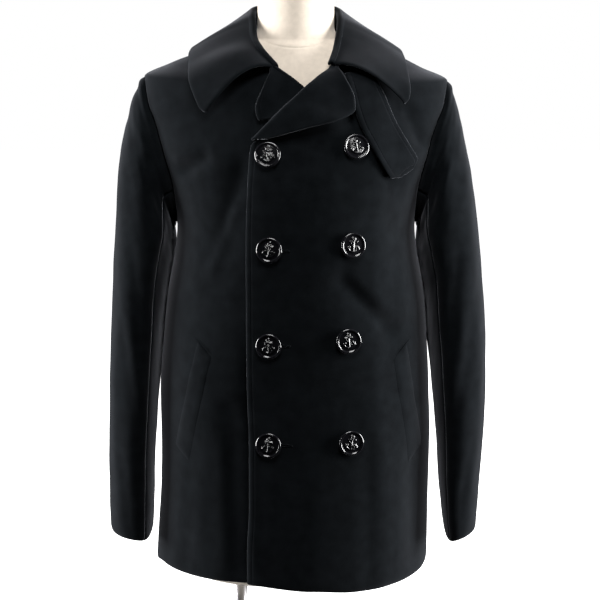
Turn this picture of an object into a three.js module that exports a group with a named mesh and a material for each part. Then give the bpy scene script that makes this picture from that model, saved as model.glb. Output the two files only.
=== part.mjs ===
// Pea coat on a limbless dress form with a short pole and a round base plate.
// Millimetres. The front faces -Y, +Z is up, the underside of the base is z = 0.
// Left and right are the wearer's, so the left side is +X.
import * as THREE from 'three';

// Driving dimensions
const CLOTH = 3.0;              // wall of the body cloth
const COLLAR_CLOTH = 3.6;       // collar, two layers sewn together
const SEAM = 0.3;               // gap between neighbouring pieces
const HEM_RISE = 9;
const HEM_DROP = 4;
const SHOULDER_RISE = 6;
const UNDERARM_Z = 705;         // bottom of the armholes
const SHOULDER_Z = 900;         // top of the armholes, the shoulder tips
const NECK_Z = 964;             // side of the neck seam
const OVERLAP_LIFT = 4.6;       // how far the left front lies outside the right one
const ROLL_SETBACK = 5;         // from the seen roll line to the edge of the front
const VENT_TOP_Z = 420;         // top of the back vent
const VENT_WIDTH = 36;
const BUTTON_RADIUS = 17;
const LATCH_HALF_WIDTH = 22.5;
const WELT_WIDTH = 28;
const WELT_LENGTH = 150;
const POLE_RADIUS = 10;
const POLE_X = -80;
const BASE_RADIUS = 190;
const BASE_HEIGHT = 8;
const FORM_BOTTOM_Z = 208;

// Horizontal rings of the coat body: centre, half width, depth to the front and
// back, and the power of the superellipse
const BODY = {
  columns: ['z', 'centreX', 'halfWidth', 'front', 'back', 'power'],
  rows: [
    [220, -6.5, 193, 162, 150, 2.35],
    [275, -4.5, 191, 160, 148, 2.35],
    [350, -1.5, 189, 156, 144, 2.4],
    [408, -0.8, 189, 153, 140, 2.4],
    [480, -2, 188, 150, 134, 2.45],
    [555, -1, 183, 149, 129, 2.45],
    [612, 0, 177.5, 149, 128, 2.45],
    [665, 0, 168, 150, 131, 2.45],
    [705, 0, 164, 150, 134, 2.4],
    [753, 0, 174, 148, 136, 2.35],
    [805, 0, 192, 141, 134, 2.3],
    [846, 0, 203, 128, 126, 2.15],
    [870, 0, 209, 117, 117, 2.05],
    [900, 0, 207, 103, 103, 1.85],
    [918, 0, 171, 90, 93, 1.65],
    [935, 0, 138, 78, 84, 1.55],
    [950, 0, 104, 69, 76, 1.55],
    [964, 0, 70, 62, 68, 1.6],
  ],
};

// Rise of each ring at the middle of the front and of the back
const LEVEL = {
  columns: ['z', 'frontRise', 'backRise'],
  rows: [
    [220, -5, 2],
    [300, 0, 0],
    [880, 0, 0],
    [930, 0, 8],
    [964, 0, 20],
  ],
};

// Front edge of the left front: straight below the break, the roll line above
const LEFT_EDGE = {
  columns: ['z', 'x'],
  rows: [
    [220, -64.5], [264, -64], [348, -60.5], [431, -60.5], [486, -63], [553, -64],
    [687, -64], [753, -63], [800, -60.5], [822, -57], [831, -46], [850, -25],
    [870, -4], [891, 18.5], [905, 35], [918, 50], [936, 57], [955, 61], [964, 63],
  ],
};

// Front edge of the right front, hidden under the left one up to the V
const RIGHT_EDGE = {
  columns: ['z', 'x'],
  rows: [
    [220, 92], [780, 92], [805, 88], [822, 76], [831, 65], [850, 46],
    [870, 27], [891, 8.5], [905, -9], [918, -28], [936, -47], [955, -59], [964, -63],
  ],
};

// Large soft folds of the cloth: a line from one point of the front view to
// another, how wide the fold is to each side and how far it stands out
const FOLDS = {
  columns: ['x1', 'z1', 'x2', 'z2', 'width', 'height'],
  rows: [
    [-118, 812, -150, 786, 16, -4],
    [-66, 806, -108, 672, 24, -4.5],
    [58, 650, 135, 560, 24, -4.5],
    [146, 868, 168, 822, 14, -3],
    [-128, 540, -150, 300, 30, 3.5],
    [-84, 470, -78, 235, 17, -4.5],
    [112, 470, 128, 240, 28, 4],
    [160, 400, 168, 235, 20, -3.5],
  ],
};

// The same kind of folds on the back, seen from behind
const BACK_FOLDS = {
  columns: ['x1', 'z1', 'x2', 'z2', 'width', 'height'],
  rows: [
    [-150, 800, -95, 690, 24, -4],
    [148, 806, 100, 700, 22, -4],
    [-110, 520, -122, 240, 32, 4],
    [105, 500, 118, 240, 30, 3.5],
    [-50, 610, 60, 590, 22, -3],
  ],
};

// Rings of the left sleeve: the point at the body, the point away from it, the
// middle and half depth, and the power of the superellipse
const LEFT_SLEEVE = {
  columns: ['ring', 'inX', 'inZ', 'outX', 'outZ', 'middleY', 'halfDepth', 'power'],
  rows: [
    [0, 164, 705, 207, 900, 0, 60, 2],
    [1, 168, 708, 210.5, 893.5, 0, 63, 2.05],
    [2, 172, 705, 214.5, 884, 0, 67, 2.1],
    [3, 169, 696, 219.5, 871.5, 0, 70, 2.15],
    [4, 169.2, 684, 225, 851, 0, 73, 2.2],
    [5, 170.4, 670, 230, 828, -1, 76, 2.3],
    [6, 172.2, 654, 236, 800, -2, 78, 2.3],
    [7, 175, 636, 242, 767, -3, 79, 2.3],
    [8, 179.2, 612, 248, 730, -4, 79, 2.3],
    [9, 182, 585, 253, 688, -5, 79, 2.3],
    [10, 184.8, 555, 258, 640, -6, 78, 2.3],
    [11, 188, 520, 262, 588, -8, 77, 2.3],
    [12, 191, 480, 264.5, 532, -10, 76, 2.3],
    [13, 194.6, 436, 265, 474, -13, 74, 2.3],
    [14, 198.5, 390, 263, 415, -16, 71, 2.3],
    [15, 201.6, 345, 259.5, 357, -19, 68, 2.3],
    [16, 205.4, 304, 256, 312, -21, 66, 2.3],
    [17, 210.5, 267, 254, 279, -23, 64, 2.3],
  ],
};

// Rings of the right sleeve, x mirrored
const RIGHT_SLEEVE = {
  columns: ['ring', 'inX', 'inZ', 'outX', 'outZ', 'middleY', 'halfDepth', 'power'],
  rows: [
    [0, 164, 705, 207, 900, 0, 60, 2],
    [1, 168, 708, 212, 894, 0, 63, 2.05],
    [2, 172, 705, 217, 886, 0, 67, 2.1],
    [3, 169, 696, 224, 873, 0, 70, 2.15],
    [4, 169.2, 684, 229.7, 852, 0, 73, 2.2],
    [5, 170.4, 670, 235.6, 830, -1, 76, 2.3],
    [6, 172.2, 654, 241.6, 802, -2, 78, 2.3],
    [7, 175, 636, 245.1, 768, -3, 79, 2.3],
    [8, 179.2, 612, 247.2, 730, -4, 79, 2.3],
    [9, 182.8, 585, 250.2, 688, -5, 79, 2.3],
    [10, 186.2, 555, 253.3, 640, -6, 78, 2.3],
    [11, 189.4, 520, 256.3, 588, -8, 77, 2.3],
    [12, 192, 480, 258.8, 532, -10, 76, 2.3],
    [13, 195.2, 436, 260.8, 474, -13, 74, 2.3],
    [14, 198, 390, 261.8, 415, -16, 71, 2.3],
    [15, 200, 345, 262.8, 357, -19, 68, 2.3],
    [16, 201.2, 305, 262.8, 311, -21, 66, 2.3],
    [17, 203, 269, 261.5, 277, -23, 64, 2.3],
  ],
};

// Collar stations from the left front end round the neck to the right front end:
// where the neck seam is, the top of the fold, the outer edge, the swell of the leaf
const COLLAR = {
  columns: ['seamZ', 'seamAngle', 'foldX', 'foldY', 'foldZ', 'edgeX', 'edgeZ', 'edgeLift', 'swell', 'arch'],
  rows: [
    [926, 0, 47, -90, 929, 142.6, 867, 13, 15, 11],
    [940, 0, 54, -60, 946, 146, 890, 10, 10, 5],
    [953, 0, 58, -38, 963, 146, 912, 7, 7, 0],
    [964, 67, 60.5, -20, 977, 143, 926, 6, 6, 0],
    [964, 82, 61, -3, 987, 139, 935, 5, 5, 0],
    [964, 105, 58, 26, 996, 128, 922, 5, 5, 0],
    [964, 140, 38, 53, 1001, 84, 905, 5, 6, 0],
    [964, 180, 0, 63, 1003, 0, 898, 5, 6, 0],
    [964, 220, -38, 53, 1001, -84, 905, 5, 6, 0],
    [964, 255, -58, 26, 997, -127, 922, 5, 5, 0],
    [964, 278, -60, -3, 989, -138, 936, 5, 5, 0],
    [964, 293, -58.5, -20, 978, -141, 930, 6, 6, 0],
    [953, 0, -56, -44, 961, -140, 917, 7, 7, 0],
    [940, 0, -45, -71, 945, -136, 896, 10, 10, 7],
    [925, 0, -27, -92, 926, -117, 856, 13, 14, 17],
  ],
};

// Left lapel: the roll line and the free edge across from it
const LEFT_LAPEL = {
  columns: ['rollZ', 'edgeX', 'edgeZ', 'edgeLift'],
  rows: [
    [827.7, -38, 827.5, 1.5],
    [851.2, 14, 839.5, 4],
    [871.4, 50, 848, 5],
    [887, 74, 863, 6],
    [896.7, 73, 877, 6],
    [908, 63, 898, 5],
    [918, 55, 912, 4],
  ],
};

// Right lapel, its lower part hidden under the left front
const RIGHT_LAPEL = {
  columns: ['rollZ', 'edgeX', 'edgeZ', 'edgeLift'],
  rows: [
    [871.4, -6, 857, 0.6],
    [887, -46, 853, 1.2],
    [896.7, -51, 868, 2.5],
    [908, -42, 892, 3],
    [918, -33, 910, 3],
  ],
};

// Middle line of the throat latch on the left front
const LATCH = {
  columns: ['along', 'x', 'z', 'width'],
  rows: [
    [0, 90, 889, 0.8],
    [1, 96, 873, 0.95],
    [2, 104, 853, 1],
    [3, 117, 828, 1],
    [4, 131, 804, 1],
    [5, 139, 791, 0.86],
    [6, 143, 784.5, 0.45],
  ],
};

// Buttons on the left front, by column and row
const BUTTONS = [
  [-35.8, 810], [-34, 688], [-35.3, 560], [-35.7, 426.5],
  [77.3, 819], [72.8, 693], [68.2, 566], [72.2, 428],
];

// Cross section of a button: radius and height above the cloth
const BUTTON_PROFILE = [[15.2, 0], [17, 1.6], [17, 3], [15.6, 4.2], [13.6, 3.6], [8, 4.9]];

// Top corners of the two pocket welts and the way they run down
const WELTS = [
  { name: 'pocket_welt_right', side: -1, x: -130.6, z: 562, slope: 0.22 },
  { name: 'pocket_welt_left', side: 1, x: 150, z: 556, slope: 0.16 },
];

// Rings of the dress form
const FORM = {
  columns: ['z', 'centreX', 'halfWidth', 'front', 'back', 'power'],
  rows: [
    [208, 0, 149, 98, 105, 2.2],
    [214, 0, 157, 105, 112, 2.2],
    [235, 0, 160, 108, 115, 2.2],
    [300, 0, 165, 114, 120, 2.2],
    [360, 0, 166, 117, 120, 2.2],
    [430, 0, 158, 116, 110, 2.2],
    [500, 0, 146, 113, 100, 2.2],
    [560, 0, 139, 113, 96, 2.2],
    [620, 0, 143, 120, 101, 2.2],
    [680, 0, 150, 130, 112, 2.2],
    [740, 0, 158, 133, 120, 2.2],
    [800, 0, 176, 130, 122, 2.15],
    [846, 0, 191, 116, 114, 2.1],
    [875, 0, 197, 102, 102, 2],
    [892, 0, 196, 94, 95, 1.9],
    [903, 0, 192, 89, 91, 1.82],
    [918, 0, 162.5, 80, 83, 1.65],
    [935, 0, 129.5, 68.5, 74.5, 1.55],
    [948, 0, 100, 60, 67, 1.55],
    [958, 0, 61, 53, 58, 1.8],
    [972, 0, 52.5, 51, 54, 2],
    [990, 0, 52, 50, 53, 2],
    [1030, 0, 52, 50, 53, 2],
    [1037, 0, 49, 47, 50, 2],
    [1041, 0, 38, 36, 39, 2],
  ],
};

const BODY_ROWS = [
  230, 262, 300, 345, 390, 435, 480, 525, 570, 612, 648, 680,
  705, 708.3, 718, 733.6, 753.8, 777.3, 802.5, 827.7, 851.2, 871.4, 887, 896.7,
  900, 908, 918, 930, 942, 954, 964,
];

const NAVY = new THREE.MeshStandardMaterial({ name: 'navy_melton', color: 0x15171d, roughness: 0.9 });
const BLACK = new THREE.MeshStandardMaterial({ name: 'black_button', color: 0x08080a, roughness: 0.2 });
const LINEN = new THREE.MeshStandardMaterial({ name: 'cream_linen', color: 0xe9e0d0, roughness: 0.85 });
const STEEL = new THREE.MeshStandardMaterial({
  name: 'bright_steel', color: 0xb8babd, roughness: 0.3, metalness: 1,
});

// Smooth reading of tables

function slopesOf(xs, ys) {
  const steps = ys.slice(1).map((y, i) => (y - ys[i]) / (xs[i + 1] - xs[i]));
  return ys.map((_, i) => {
    if (i === 0) return steps[0];
    if (i === ys.length - 1) return steps[i - 1];
    const before = steps[i - 1];
    const after = steps[i];
    return before * after <= 0 ? 0 : 2 * before * after / (before + after);
  });
}

function read(table, name, at) {
  table.curves ??= {};
  const k = table.columns.indexOf(name);
  const xs = table.rows.map((row) => row[0]);
  const ys = table.rows.map((row) => row[k]);
  table.curves[name] ??= slopesOf(xs, ys);
  const slopes = table.curves[name];
  const last = xs.length - 1;
  if (at <= xs[0]) return ys[0];
  if (at >= xs[last]) return ys[last];
  let i = 0;
  while (at > xs[i + 1]) i += 1;
  const width = xs[i + 1] - xs[i];
  const t = (at - xs[i]) / width;
  const rest = 1 - t;
  const from = ys[i] * (1 + 2 * t) * rest * rest + slopes[i] * width * t * rest * rest;
  const to = ys[i + 1] * t * t * (3 - 2 * t) - slopes[i + 1] * width * t * t * rest;
  return from + to;
}

function smooth(value, low, high) {
  const t = Math.min(1, Math.max(0, (value - low) / (high - low)));
  return t * t * (3 - 2 * t);
}

function power(value, exponent) {
  return Math.sign(value) * Math.abs(value) ** exponent;
}

function radians(degrees) {
  return degrees * Math.PI / 180;
}

// Body surface, by ring height and by angle from the middle of the front

function ringPoint(table, z, angle) {
  const n = read(table, 'power', z);
  const s = power(Math.sin(angle), 2 / n);
  const c = power(Math.cos(angle), 2 / n);
  const reach = c > 0 ? read(table, 'front', z) : read(table, 'back', z);
  return new THREE.Vector3(
    read(table, 'centreX', z) + read(table, 'halfWidth', z) * s, -reach * c, z);
}

function ringField(z, x, y) {
  const n = read(BODY, 'power', z);
  const reach = y < 0 ? read(BODY, 'front', z) : read(BODY, 'back', z);
  const u = Math.abs(x - read(BODY, 'centreX', z)) / read(BODY, 'halfWidth', z);
  return u ** n + (Math.abs(y) / reach) ** n;
}

function bodyNormal(z, angle) {
  const p = ringPoint(BODY, z, angle);
  const step = 1.5;
  const dx = ringField(z, p.x + step, p.y) - ringField(z, p.x - step, p.y);
  const dy = ringField(z, p.x, p.y + step) - ringField(z, p.x, p.y - step);
  const low = Math.max(z - step, 222);
  const high = Math.min(z + step, NECK_Z);
  const dz = (ringField(high, p.x, p.y) - ringField(low, p.x, p.y)) * 2 * step / (high - low);
  return new THREE.Vector3(dx, dy, dz).normalize();
}

function bodyPoint(z, angle, lift) {
  const p = ringPoint(BODY, z, angle);
  const c = Math.cos(angle);
  p.z += c * c * read(LEVEL, c > 0 ? 'frontRise' : 'backRise', z) + unevenness(p.x, z, c);
  const folds = c > 0 ? FOLDS : BACK_FOLDS;
  const total = lift + foldHeight(folds, p.x, z) * smooth(Math.abs(c), 0.02, 0.3);
  return p.addScaledVector(bodyNormal(z, angle), total);
}

// The right shoulder sits higher, and the front hem rises to the right and drops to the left
function unevenness(x, z, c) {
  const shoulder = SHOULDER_RISE * smooth(-x, 120, 175) * smooth(z, 820, 895);
  const hem = HEM_RISE * smooth(-x, -25, 75) - HEM_DROP * smooth(x, 20, 80);
  return shoulder + hem * smooth(c, 0.05, 0.4) * (1 - smooth(z, 240, 340));
}

function foldHeight(folds, x, z) {
  let height = 0;
  for (const [x1, z1, x2, z2, width, amount] of folds.rows) {
    const dx = x2 - x1;
    const dz = z2 - z1;
    const along = ((x - x1) * dx + (z - z1) * dz) / (dx * dx + dz * dz);
    const t = Math.min(1, Math.max(0, along));
    const away = Math.hypot(x - x1 - dx * t, z - z1 - dz * t) / width;
    height += amount * Math.exp(-away * away) * smooth(along, -0.35, 0.2) * smooth(1 - along, -0.35, 0.2);
  }
  return height;
}

function frontAngle(z, x) {
  const u = (x - read(BODY, 'centreX', z)) / read(BODY, 'halfWidth', z);
  return Math.asin(power(Math.max(-1, Math.min(1, u)), read(BODY, 'power', z) / 2));
}

function leftLift(x, z) {
  const base = OVERLAP_LIFT * smooth(-x, -135, -100) * (1 - smooth(z, 890, 925));
  const lapel = 8 * smooth(z, 822, 849) * smooth(-x, -78, -40) * (1 - smooth(z, 885, 920));
  const edge = 4 * smooth(-x, 15, 60) * smooth(z, 225, 300) * (1 - smooth(z, 430, 520));
  return base + lapel + edge;
}

function armholeTurn(z) {
  if (z <= UNDERARM_Z || z >= SHOULDER_Z) return 0;
  const t = (z - UNDERARM_Z) / (SHOULDER_Z - UNDERARM_Z);
  return Math.sqrt(Math.sin(Math.PI * t));
}

function sideAngle(z, front) {
  const turn = armholeTurn(z) * (front ? -24 : 21);
  return radians(90 + turn);
}

// Solids

function solid(name, points, faces, material) {
  let volume = 0;
  for (const [a, b, c] of faces) {
    volume += points[a].dot(new THREE.Vector3().crossVectors(points[b], points[c]));
  }
  const index = faces.flatMap(([a, b, c]) => (volume < 0 ? [a, c, b] : [a, b, c]));
  const geometry = new THREE.BufferGeometry();
  const numbers = points.flatMap((p) => [p.x, p.y, p.z]);
  geometry.setAttribute('position', new THREE.Float32BufferAttribute(numbers, 3));
  geometry.setIndex(index);
  geometry.computeVertexNormals();
  const mesh = new THREE.Mesh(geometry, material);
  mesh.name = name;
  return mesh;
}

// A wall between two grids of the same size, closed along its four edges
function wall(name, outer, inner, material) {
  const rows = outer.length;
  const cols = outer[0].length;
  const points = [...outer.flat(), ...inner.flat()];
  const faces = [];
  const out = (i, j) => i * cols + j;
  const into = (i, j) => rows * cols + i * cols + j;
  for (let i = 0; i + 1 < rows; i += 1) {
    for (let j = 0; j + 1 < cols; j += 1) {
      faces.push([out(i, j), out(i, j + 1), out(i + 1, j + 1)]);
      faces.push([out(i, j), out(i + 1, j + 1), out(i + 1, j)]);
      faces.push([into(i, j), into(i + 1, j + 1), into(i, j + 1)]);
      faces.push([into(i, j), into(i + 1, j), into(i + 1, j + 1)]);
    }
  }
  const close = (a, b, c, d) => faces.push([a, c, d], [a, d, b]);
  for (let j = 0; j + 1 < cols; j += 1) {
    close(out(0, j), out(0, j + 1), into(0, j), into(0, j + 1));
    close(out(rows - 1, j + 1), out(rows - 1, j), into(rows - 1, j + 1), into(rows - 1, j));
  }
  for (let i = 0; i + 1 < rows; i += 1) {
    close(out(i + 1, 0), out(i, 0), into(i + 1, 0), into(i, 0));
    close(out(i, cols - 1), out(i + 1, cols - 1), into(i, cols - 1), into(i + 1, cols - 1));
  }
  return solid(name, points, faces, material);
}

// A grid seen as a sheet: normals from its neighbours, wall to both sides
function sheetWall(name, grid, thickness, material, firstNormals) {
  const rows = grid.length;
  const cols = grid[0].length;
  const normals = grid.map((row, i) => row.map((_, j) => {
    const up = grid[Math.min(i + 1, rows - 1)][j].clone().sub(grid[Math.max(i - 1, 0)][j]);
    const along = row[Math.min(j + 1, cols - 1)].clone().sub(row[Math.max(j - 1, 0)]);
    return up.cross(along).normalize();
  }));
  if (firstNormals) {
    grid.forEach((_, i) => {
      if (firstNormals[i].dot(normals[i][0]) < 0) firstNormals[i].negate();
      normals[i][0] = firstNormals[i];
    });
  }
  const moved = (p, i, j, amount) => p.clone().addScaledVector(normals[i][j], amount);
  const shift = (amount) => grid.map((row, i) => row.map((p, j) => moved(p, i, j, amount)));
  return wall(name, shift(thickness / 2), shift(-thickness / 2), material);
}

// Half a seam gap as an angle: at the middle of the back, and at the side where
// the superellipse gathers or spreads its points
function centreTurn(z) {
  return (SEAM * 0.7 / read(BODY, 'halfWidth', z)) ** (read(BODY, 'power', z) / 2);
}

function sideTurn(z) {
  if (armholeTurn(z) > 0) return 0;
  return (SEAM * 0.7 / read(BODY, 'front', z)) ** (read(BODY, 'power', z) / 2);
}

// One body panel between two angles of every ring
function panel(name, fromAngle, toAngle, liftAt, cols) {
  const grid = (depth) => BODY_ROWS.map((z) => {
    const from = fromAngle(z);
    const to = toAngle(z);
    return Array.from({ length: cols + 1 }, (_, j) => {
      const angle = from + (to - from) * j / cols;
      const x = ringPoint(BODY, z, angle).x;
      return bodyPoint(z, angle, liftAt(x, z, angle) - depth);
    });
  });
  return wall(name, grid(0), grid(CLOTH), NAVY);
}

function makeFronts() {
  const left = panel('front_left',
    (z) => frontAngle(z, read(LEFT_EDGE, 'x', z)),
    (z) => sideAngle(z, true) - sideTurn(z),
    (x, z) => leftLift(x, z), 12);
  const right = panel('front_right',
    (z) => frontAngle(z, read(RIGHT_EDGE, 'x', z)),
    (z) => -sideAngle(z, true) + sideTurn(z),
    () => 0, 13);
  return [left, right];
}

// The left back runs on under the right back where the vent is
function makeBacks() {
  const vent = (z) => 1 - smooth(z, VENT_TOP_Z - 30, VENT_TOP_Z);
  const ventTurn = (z) => vent(z) * VENT_WIDTH / read(BODY, 'halfWidth', z);
  const left = panel('back_left',
    (z) => Math.PI + ventTurn(z) - centreTurn(z),
    (z) => sideAngle(z, false) + sideTurn(z),
    () => 0, 11);
  const right = panel('back_right',
    (z) => -Math.PI + centreTurn(z),
    (z) => -sideAngle(z, false) - sideTurn(z),
    (x, z, angle) => ventLift(z, angle), 11);
  return [left, right];
}

function ventLift(z, angle) {
  const near = smooth(Math.abs(angle) * 180 / Math.PI, 140, 158);
  return 4 * near * (1 - smooth(z, VENT_TOP_Z + 30, VENT_TOP_Z + 90));
}

// Sleeves: angle 0 is the outer side, 90 the front, 180 next to the body

function sleeveLoop(table, side, ring, angle) {
  const n = read(table, 'power', ring);
  const c = power(Math.cos(angle), 2 / n);
  const s = power(Math.sin(angle), 2 / n);
  const inX = read(table, 'inX', ring);
  const inZ = read(table, 'inZ', ring);
  const outX = read(table, 'outX', ring);
  const outZ = read(table, 'outZ', ring);
  return new THREE.Vector3(
    side * ((inX + outX) / 2 + (outX - inX) / 2 * c),
    read(table, 'middleY', ring) - read(table, 'halfDepth', ring) * s,
    (inZ + outZ) / 2 + (outZ - inZ) / 2 * c);
}

function armholePoint(side, angle, depth) {
  const gap = SEAM * 2.4;
  const middle = (UNDERARM_Z + SHOULDER_Z) / 2;
  const half = (SHOULDER_Z - UNDERARM_Z) / 2;
  const edge = sideAngle(middle + half * Math.cos(angle), Math.sin(angle) > 0);
  const turn = gap / 110 * Math.sin(angle);
  return bodyPoint(middle + (half - gap) * Math.cos(angle), side * (edge + turn), -depth);
}

function sleevePoint(table, side, ring, angle) {
  const p = sleeveLoop(table, side, ring, angle);
  const keep = 1 - smooth(ring, 0, 5);
  if (keep > 0) {
    p.add(armholePoint(side, angle, 0).sub(sleeveLoop(table, side, 0, angle)).multiplyScalar(keep));
  }
  return p;
}

function sleeveNormal(table, side, ring, angle) {
  const last = table.rows.length - 1;
  const step = 0.25;
  const along = sleevePoint(table, side, Math.min(ring + step, last), angle)
    .sub(sleevePoint(table, side, Math.max(ring - step, 0), angle));
  const round = sleevePoint(table, side, ring, angle + 0.08);
  round.sub(sleevePoint(table, side, ring, angle - 0.08));
  const n = along.cross(round).normalize();
  const centre = sleevePoint(table, side, ring, angle + Math.PI);
  return n.dot(centre.sub(sleevePoint(table, side, ring, angle))) > 0 ? n.negate() : n;
}

function sleevePiece(name, table, side, from, to, cols) {
  const rings = table.rows.length;
  const turn = SEAM / 2 / 30;
  const outer = [];
  const inner = [];
  for (let ring = 0; ring < rings; ring += 1) {
    const outerRow = [];
    const innerRow = [];
    for (let j = 0; j <= cols; j += 1) {
      const angle = from + turn + (to - from - 2 * turn) * j / cols;
      if (ring === 0) {
        outerRow.push(armholePoint(side, angle, 0));
        innerRow.push(armholePoint(side, angle, CLOTH));
      } else {
        const p = sleevePoint(table, side, ring, angle);
        outerRow.push(p);
        innerRow.push(p.clone().addScaledVector(sleeveNormal(table, side, ring, angle), -CLOTH));
      }
    }
    outer.push(outerRow);
    inner.push(innerRow);
  }
  return wall(name, outer, inner, NAVY);
}

function makeSleeves() {
  const pieces = [];
  for (const [word, side, table] of [['left', 1, LEFT_SLEEVE], ['right', -1, RIGHT_SLEEVE]]) {
    const frontSeam = radians(120);
    const backSeam = radians(240);
    pieces.push(sleevePiece(`top_sleeve_${word}`, table, side, backSeam - 2 * Math.PI, frontSeam, 16));
    pieces.push(sleevePiece(`under_sleeve_${word}`, table, side, frontSeam, backSeam, 8));
  }
  return pieces;
}

// A point of the front view carried onto the body, and its normal
function onFront(x, z, lift) {
  return bodyPoint(z, frontAngle(z, x), lift);
}

// Collar: up the stand, over the fold, down the leaf

function neckSeam(station, depth) {
  const [z, degrees, foldX] = COLLAR.rows[station];
  if (degrees > 0) {
    const angle = radians(degrees > 180 ? degrees - 360 : degrees);
    return { point: bodyPoint(NECK_Z + SEAM * 7, angle, -depth), normal: bodyNormal(NECK_Z, angle) };
  }
  const isLeft = foldX > 0;
  const edge = read(isLeft ? LEFT_EDGE : RIGHT_EDGE, 'x', z);
  const x = edge - Math.sign(edge) * SEAM * 9;
  const angle = frontAngle(z, x);
  const lift = isLeft ? leftLift(x, z) - depth : -depth;
  return { point: bodyPoint(z, angle, lift), normal: bodyNormal(z, angle) };
}

function collarRow(k) {
  const [, degrees, foldX, foldY, foldZ, edgeX, edgeZ, edgeLift, swell, arch] = COLLAR.rows[k];
  const seam = neckSeam(k, CLOTH / 2);
  const fold = new THREE.Vector3(foldX, foldY, foldZ);
  const bend = frontAngle(edgeZ, edgeX);
  const edgeAngle = degrees > 100 && degrees < 260 ? Math.PI - bend : bend;
  const edge = bodyPoint(edgeZ, edgeAngle, edgeLift + COLLAR_CLOTH / 2);
  const away = edge.clone().sub(fold).setZ(0).normalize();
  const start = seam.point;
  const inside = fold.clone().addScaledVector(away, -3.6).add(new THREE.Vector3(0, 0, -3.4));
  const outside = fold.clone().addScaledVector(away, 4.4).add(new THREE.Vector3(0, 0, -2.6));
  const points = [start, start.clone().lerp(inside, 0.5), inside, fold, outside];
  const out = bodyNormal(Math.min(edgeZ + 30, 955), edgeAngle);
  for (let j = 1; j <= 5; j += 1) {
    const t = j / 5;
    const point = outside.clone().lerp(edge, t).addScaledVector(out, swell * 2 * t * (1 - t));
    point.z += arch * 4.2 * t * (1 - t) ** 1.4;
    points.push(point);
  }
  return { points, normal: seam.normal };
}

function makeCollar() {
  const stations = COLLAR.rows.map((_, k) => collarRow(k));
  const fine = [];
  const normals = [];
  const curve = (list) => new THREE.CatmullRomCurve3(list, false, 'centripetal');
  const columns = stations[0].points.map((_, j) => curve(stations.map((s) => s.points[j])));
  const count = (stations.length - 1) * 2;
  const normalCurve = curve(stations.map((s) => s.normal));
  for (let i = 0; i <= count; i += 1) {
    fine.push(columns.map((c) => c.getPoint(i / count)));
    normals.push(normalCurve.getPoint(i / count).normalize());
  }
  return sheetWall('collar', fine, COLLAR_CLOTH, NAVY, normals);
}

// Lapels: a small roll at the edge of the front, then the turned-back cloth

function lapel(name, table, edgeTable, toward, liftAt, stand) {
  const grid = [];
  const normals = [];
  for (const [rollZ, edgeX, edgeZ, edgeLift] of table.rows) {
    const panelX = read(edgeTable, 'x', rollZ);
    const rollX = panelX - toward * ROLL_SETBACK;
    const lift = liftAt(panelX, rollZ);
    const edge = onFront(edgeX, edgeZ, liftAt(edgeX, edgeZ) + stand + edgeLift);
    const at = (e, n) => onFront(rollX + e * toward, rollZ, lift + n);
    const nose = [at(4.3, -CLOTH / 2), at(1.6, -0.9), at(-0.6, 2.2), at(1.6, 5.2), at(6, stand)];
    const row = [...nose];
    for (let j = 1; j <= 4; j += 1) {
      row.push(nose[4].clone().lerp(edge, j / 4));
    }
    grid.push(row);
    normals.push(bodyNormal(rollZ, frontAngle(rollZ, panelX)));
  }
  return sheetWall(name, grid, CLOTH, NAVY, normals);
}

function makeLapels() {
  return [
    lapel('lapel_left', LEFT_LAPEL, LEFT_EDGE, 1, leftLift, 6.2),
    lapel('lapel_right', RIGHT_LAPEL, RIGHT_EDGE, -1, () => 0, 5.2),
  ];
}

// Throat latch and pocket welts lie on the fronts

function patch(name, rows, liftAt, thickness) {
  const grid = (depth) => rows.map((row) => row.map(([x, z]) => onFront(x, z, liftAt(x, z) + depth)));
  return wall(name, grid(thickness), grid(0), NAVY);
}

function makeLatch() {
  const rows = [];
  for (let i = 0; i <= 12; i += 1) {
    const along = i / 2;
    const x = read(LATCH, 'x', along);
    const z = read(LATCH, 'z', along);
    const before = Math.max(0, along - 0.5);
    const after = Math.min(6, along + 0.5);
    const dx = read(LATCH, 'x', after) - read(LATCH, 'x', before);
    const dz = read(LATCH, 'z', after) - read(LATCH, 'z', before);
    const size = Math.hypot(dx, dz);
    const half = LATCH_HALF_WIDTH * read(LATCH, 'width', along);
    const row = [-1, -0.5, 0, 0.5, 1].map((v) => [x - dz / size * half * v, z + dx / size * half * v, along]);
    rows.push(row);
  }
  const lift = (x, z) => leftLift(x, z) + 1.9 + 2.2 * smooth(900 - z, 40, 115);
  return patch('throat_latch', rows, lift, 3.2);
}

function makeWelts() {
  return WELTS.map(({ name, side, x, z, slope }) => {
    const rows = [];
    for (let i = 0; i <= 6; i += 1) {
      const down = WELT_LENGTH * i / 6;
      const row = [0, 1 / 3, 2 / 3, 1].map((v) => [
        x + side * slope * down - side * v * WELT_WIDTH * 0.72,
        z - down - v * WELT_WIDTH * 0.72,
      ]);
      rows.push(row);
    }
    return patch(name, rows, (px, pz) => (side > 0 ? leftLift(px, pz) : 0) + 0.9, 2.6);
  });
}

// Round parts

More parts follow.
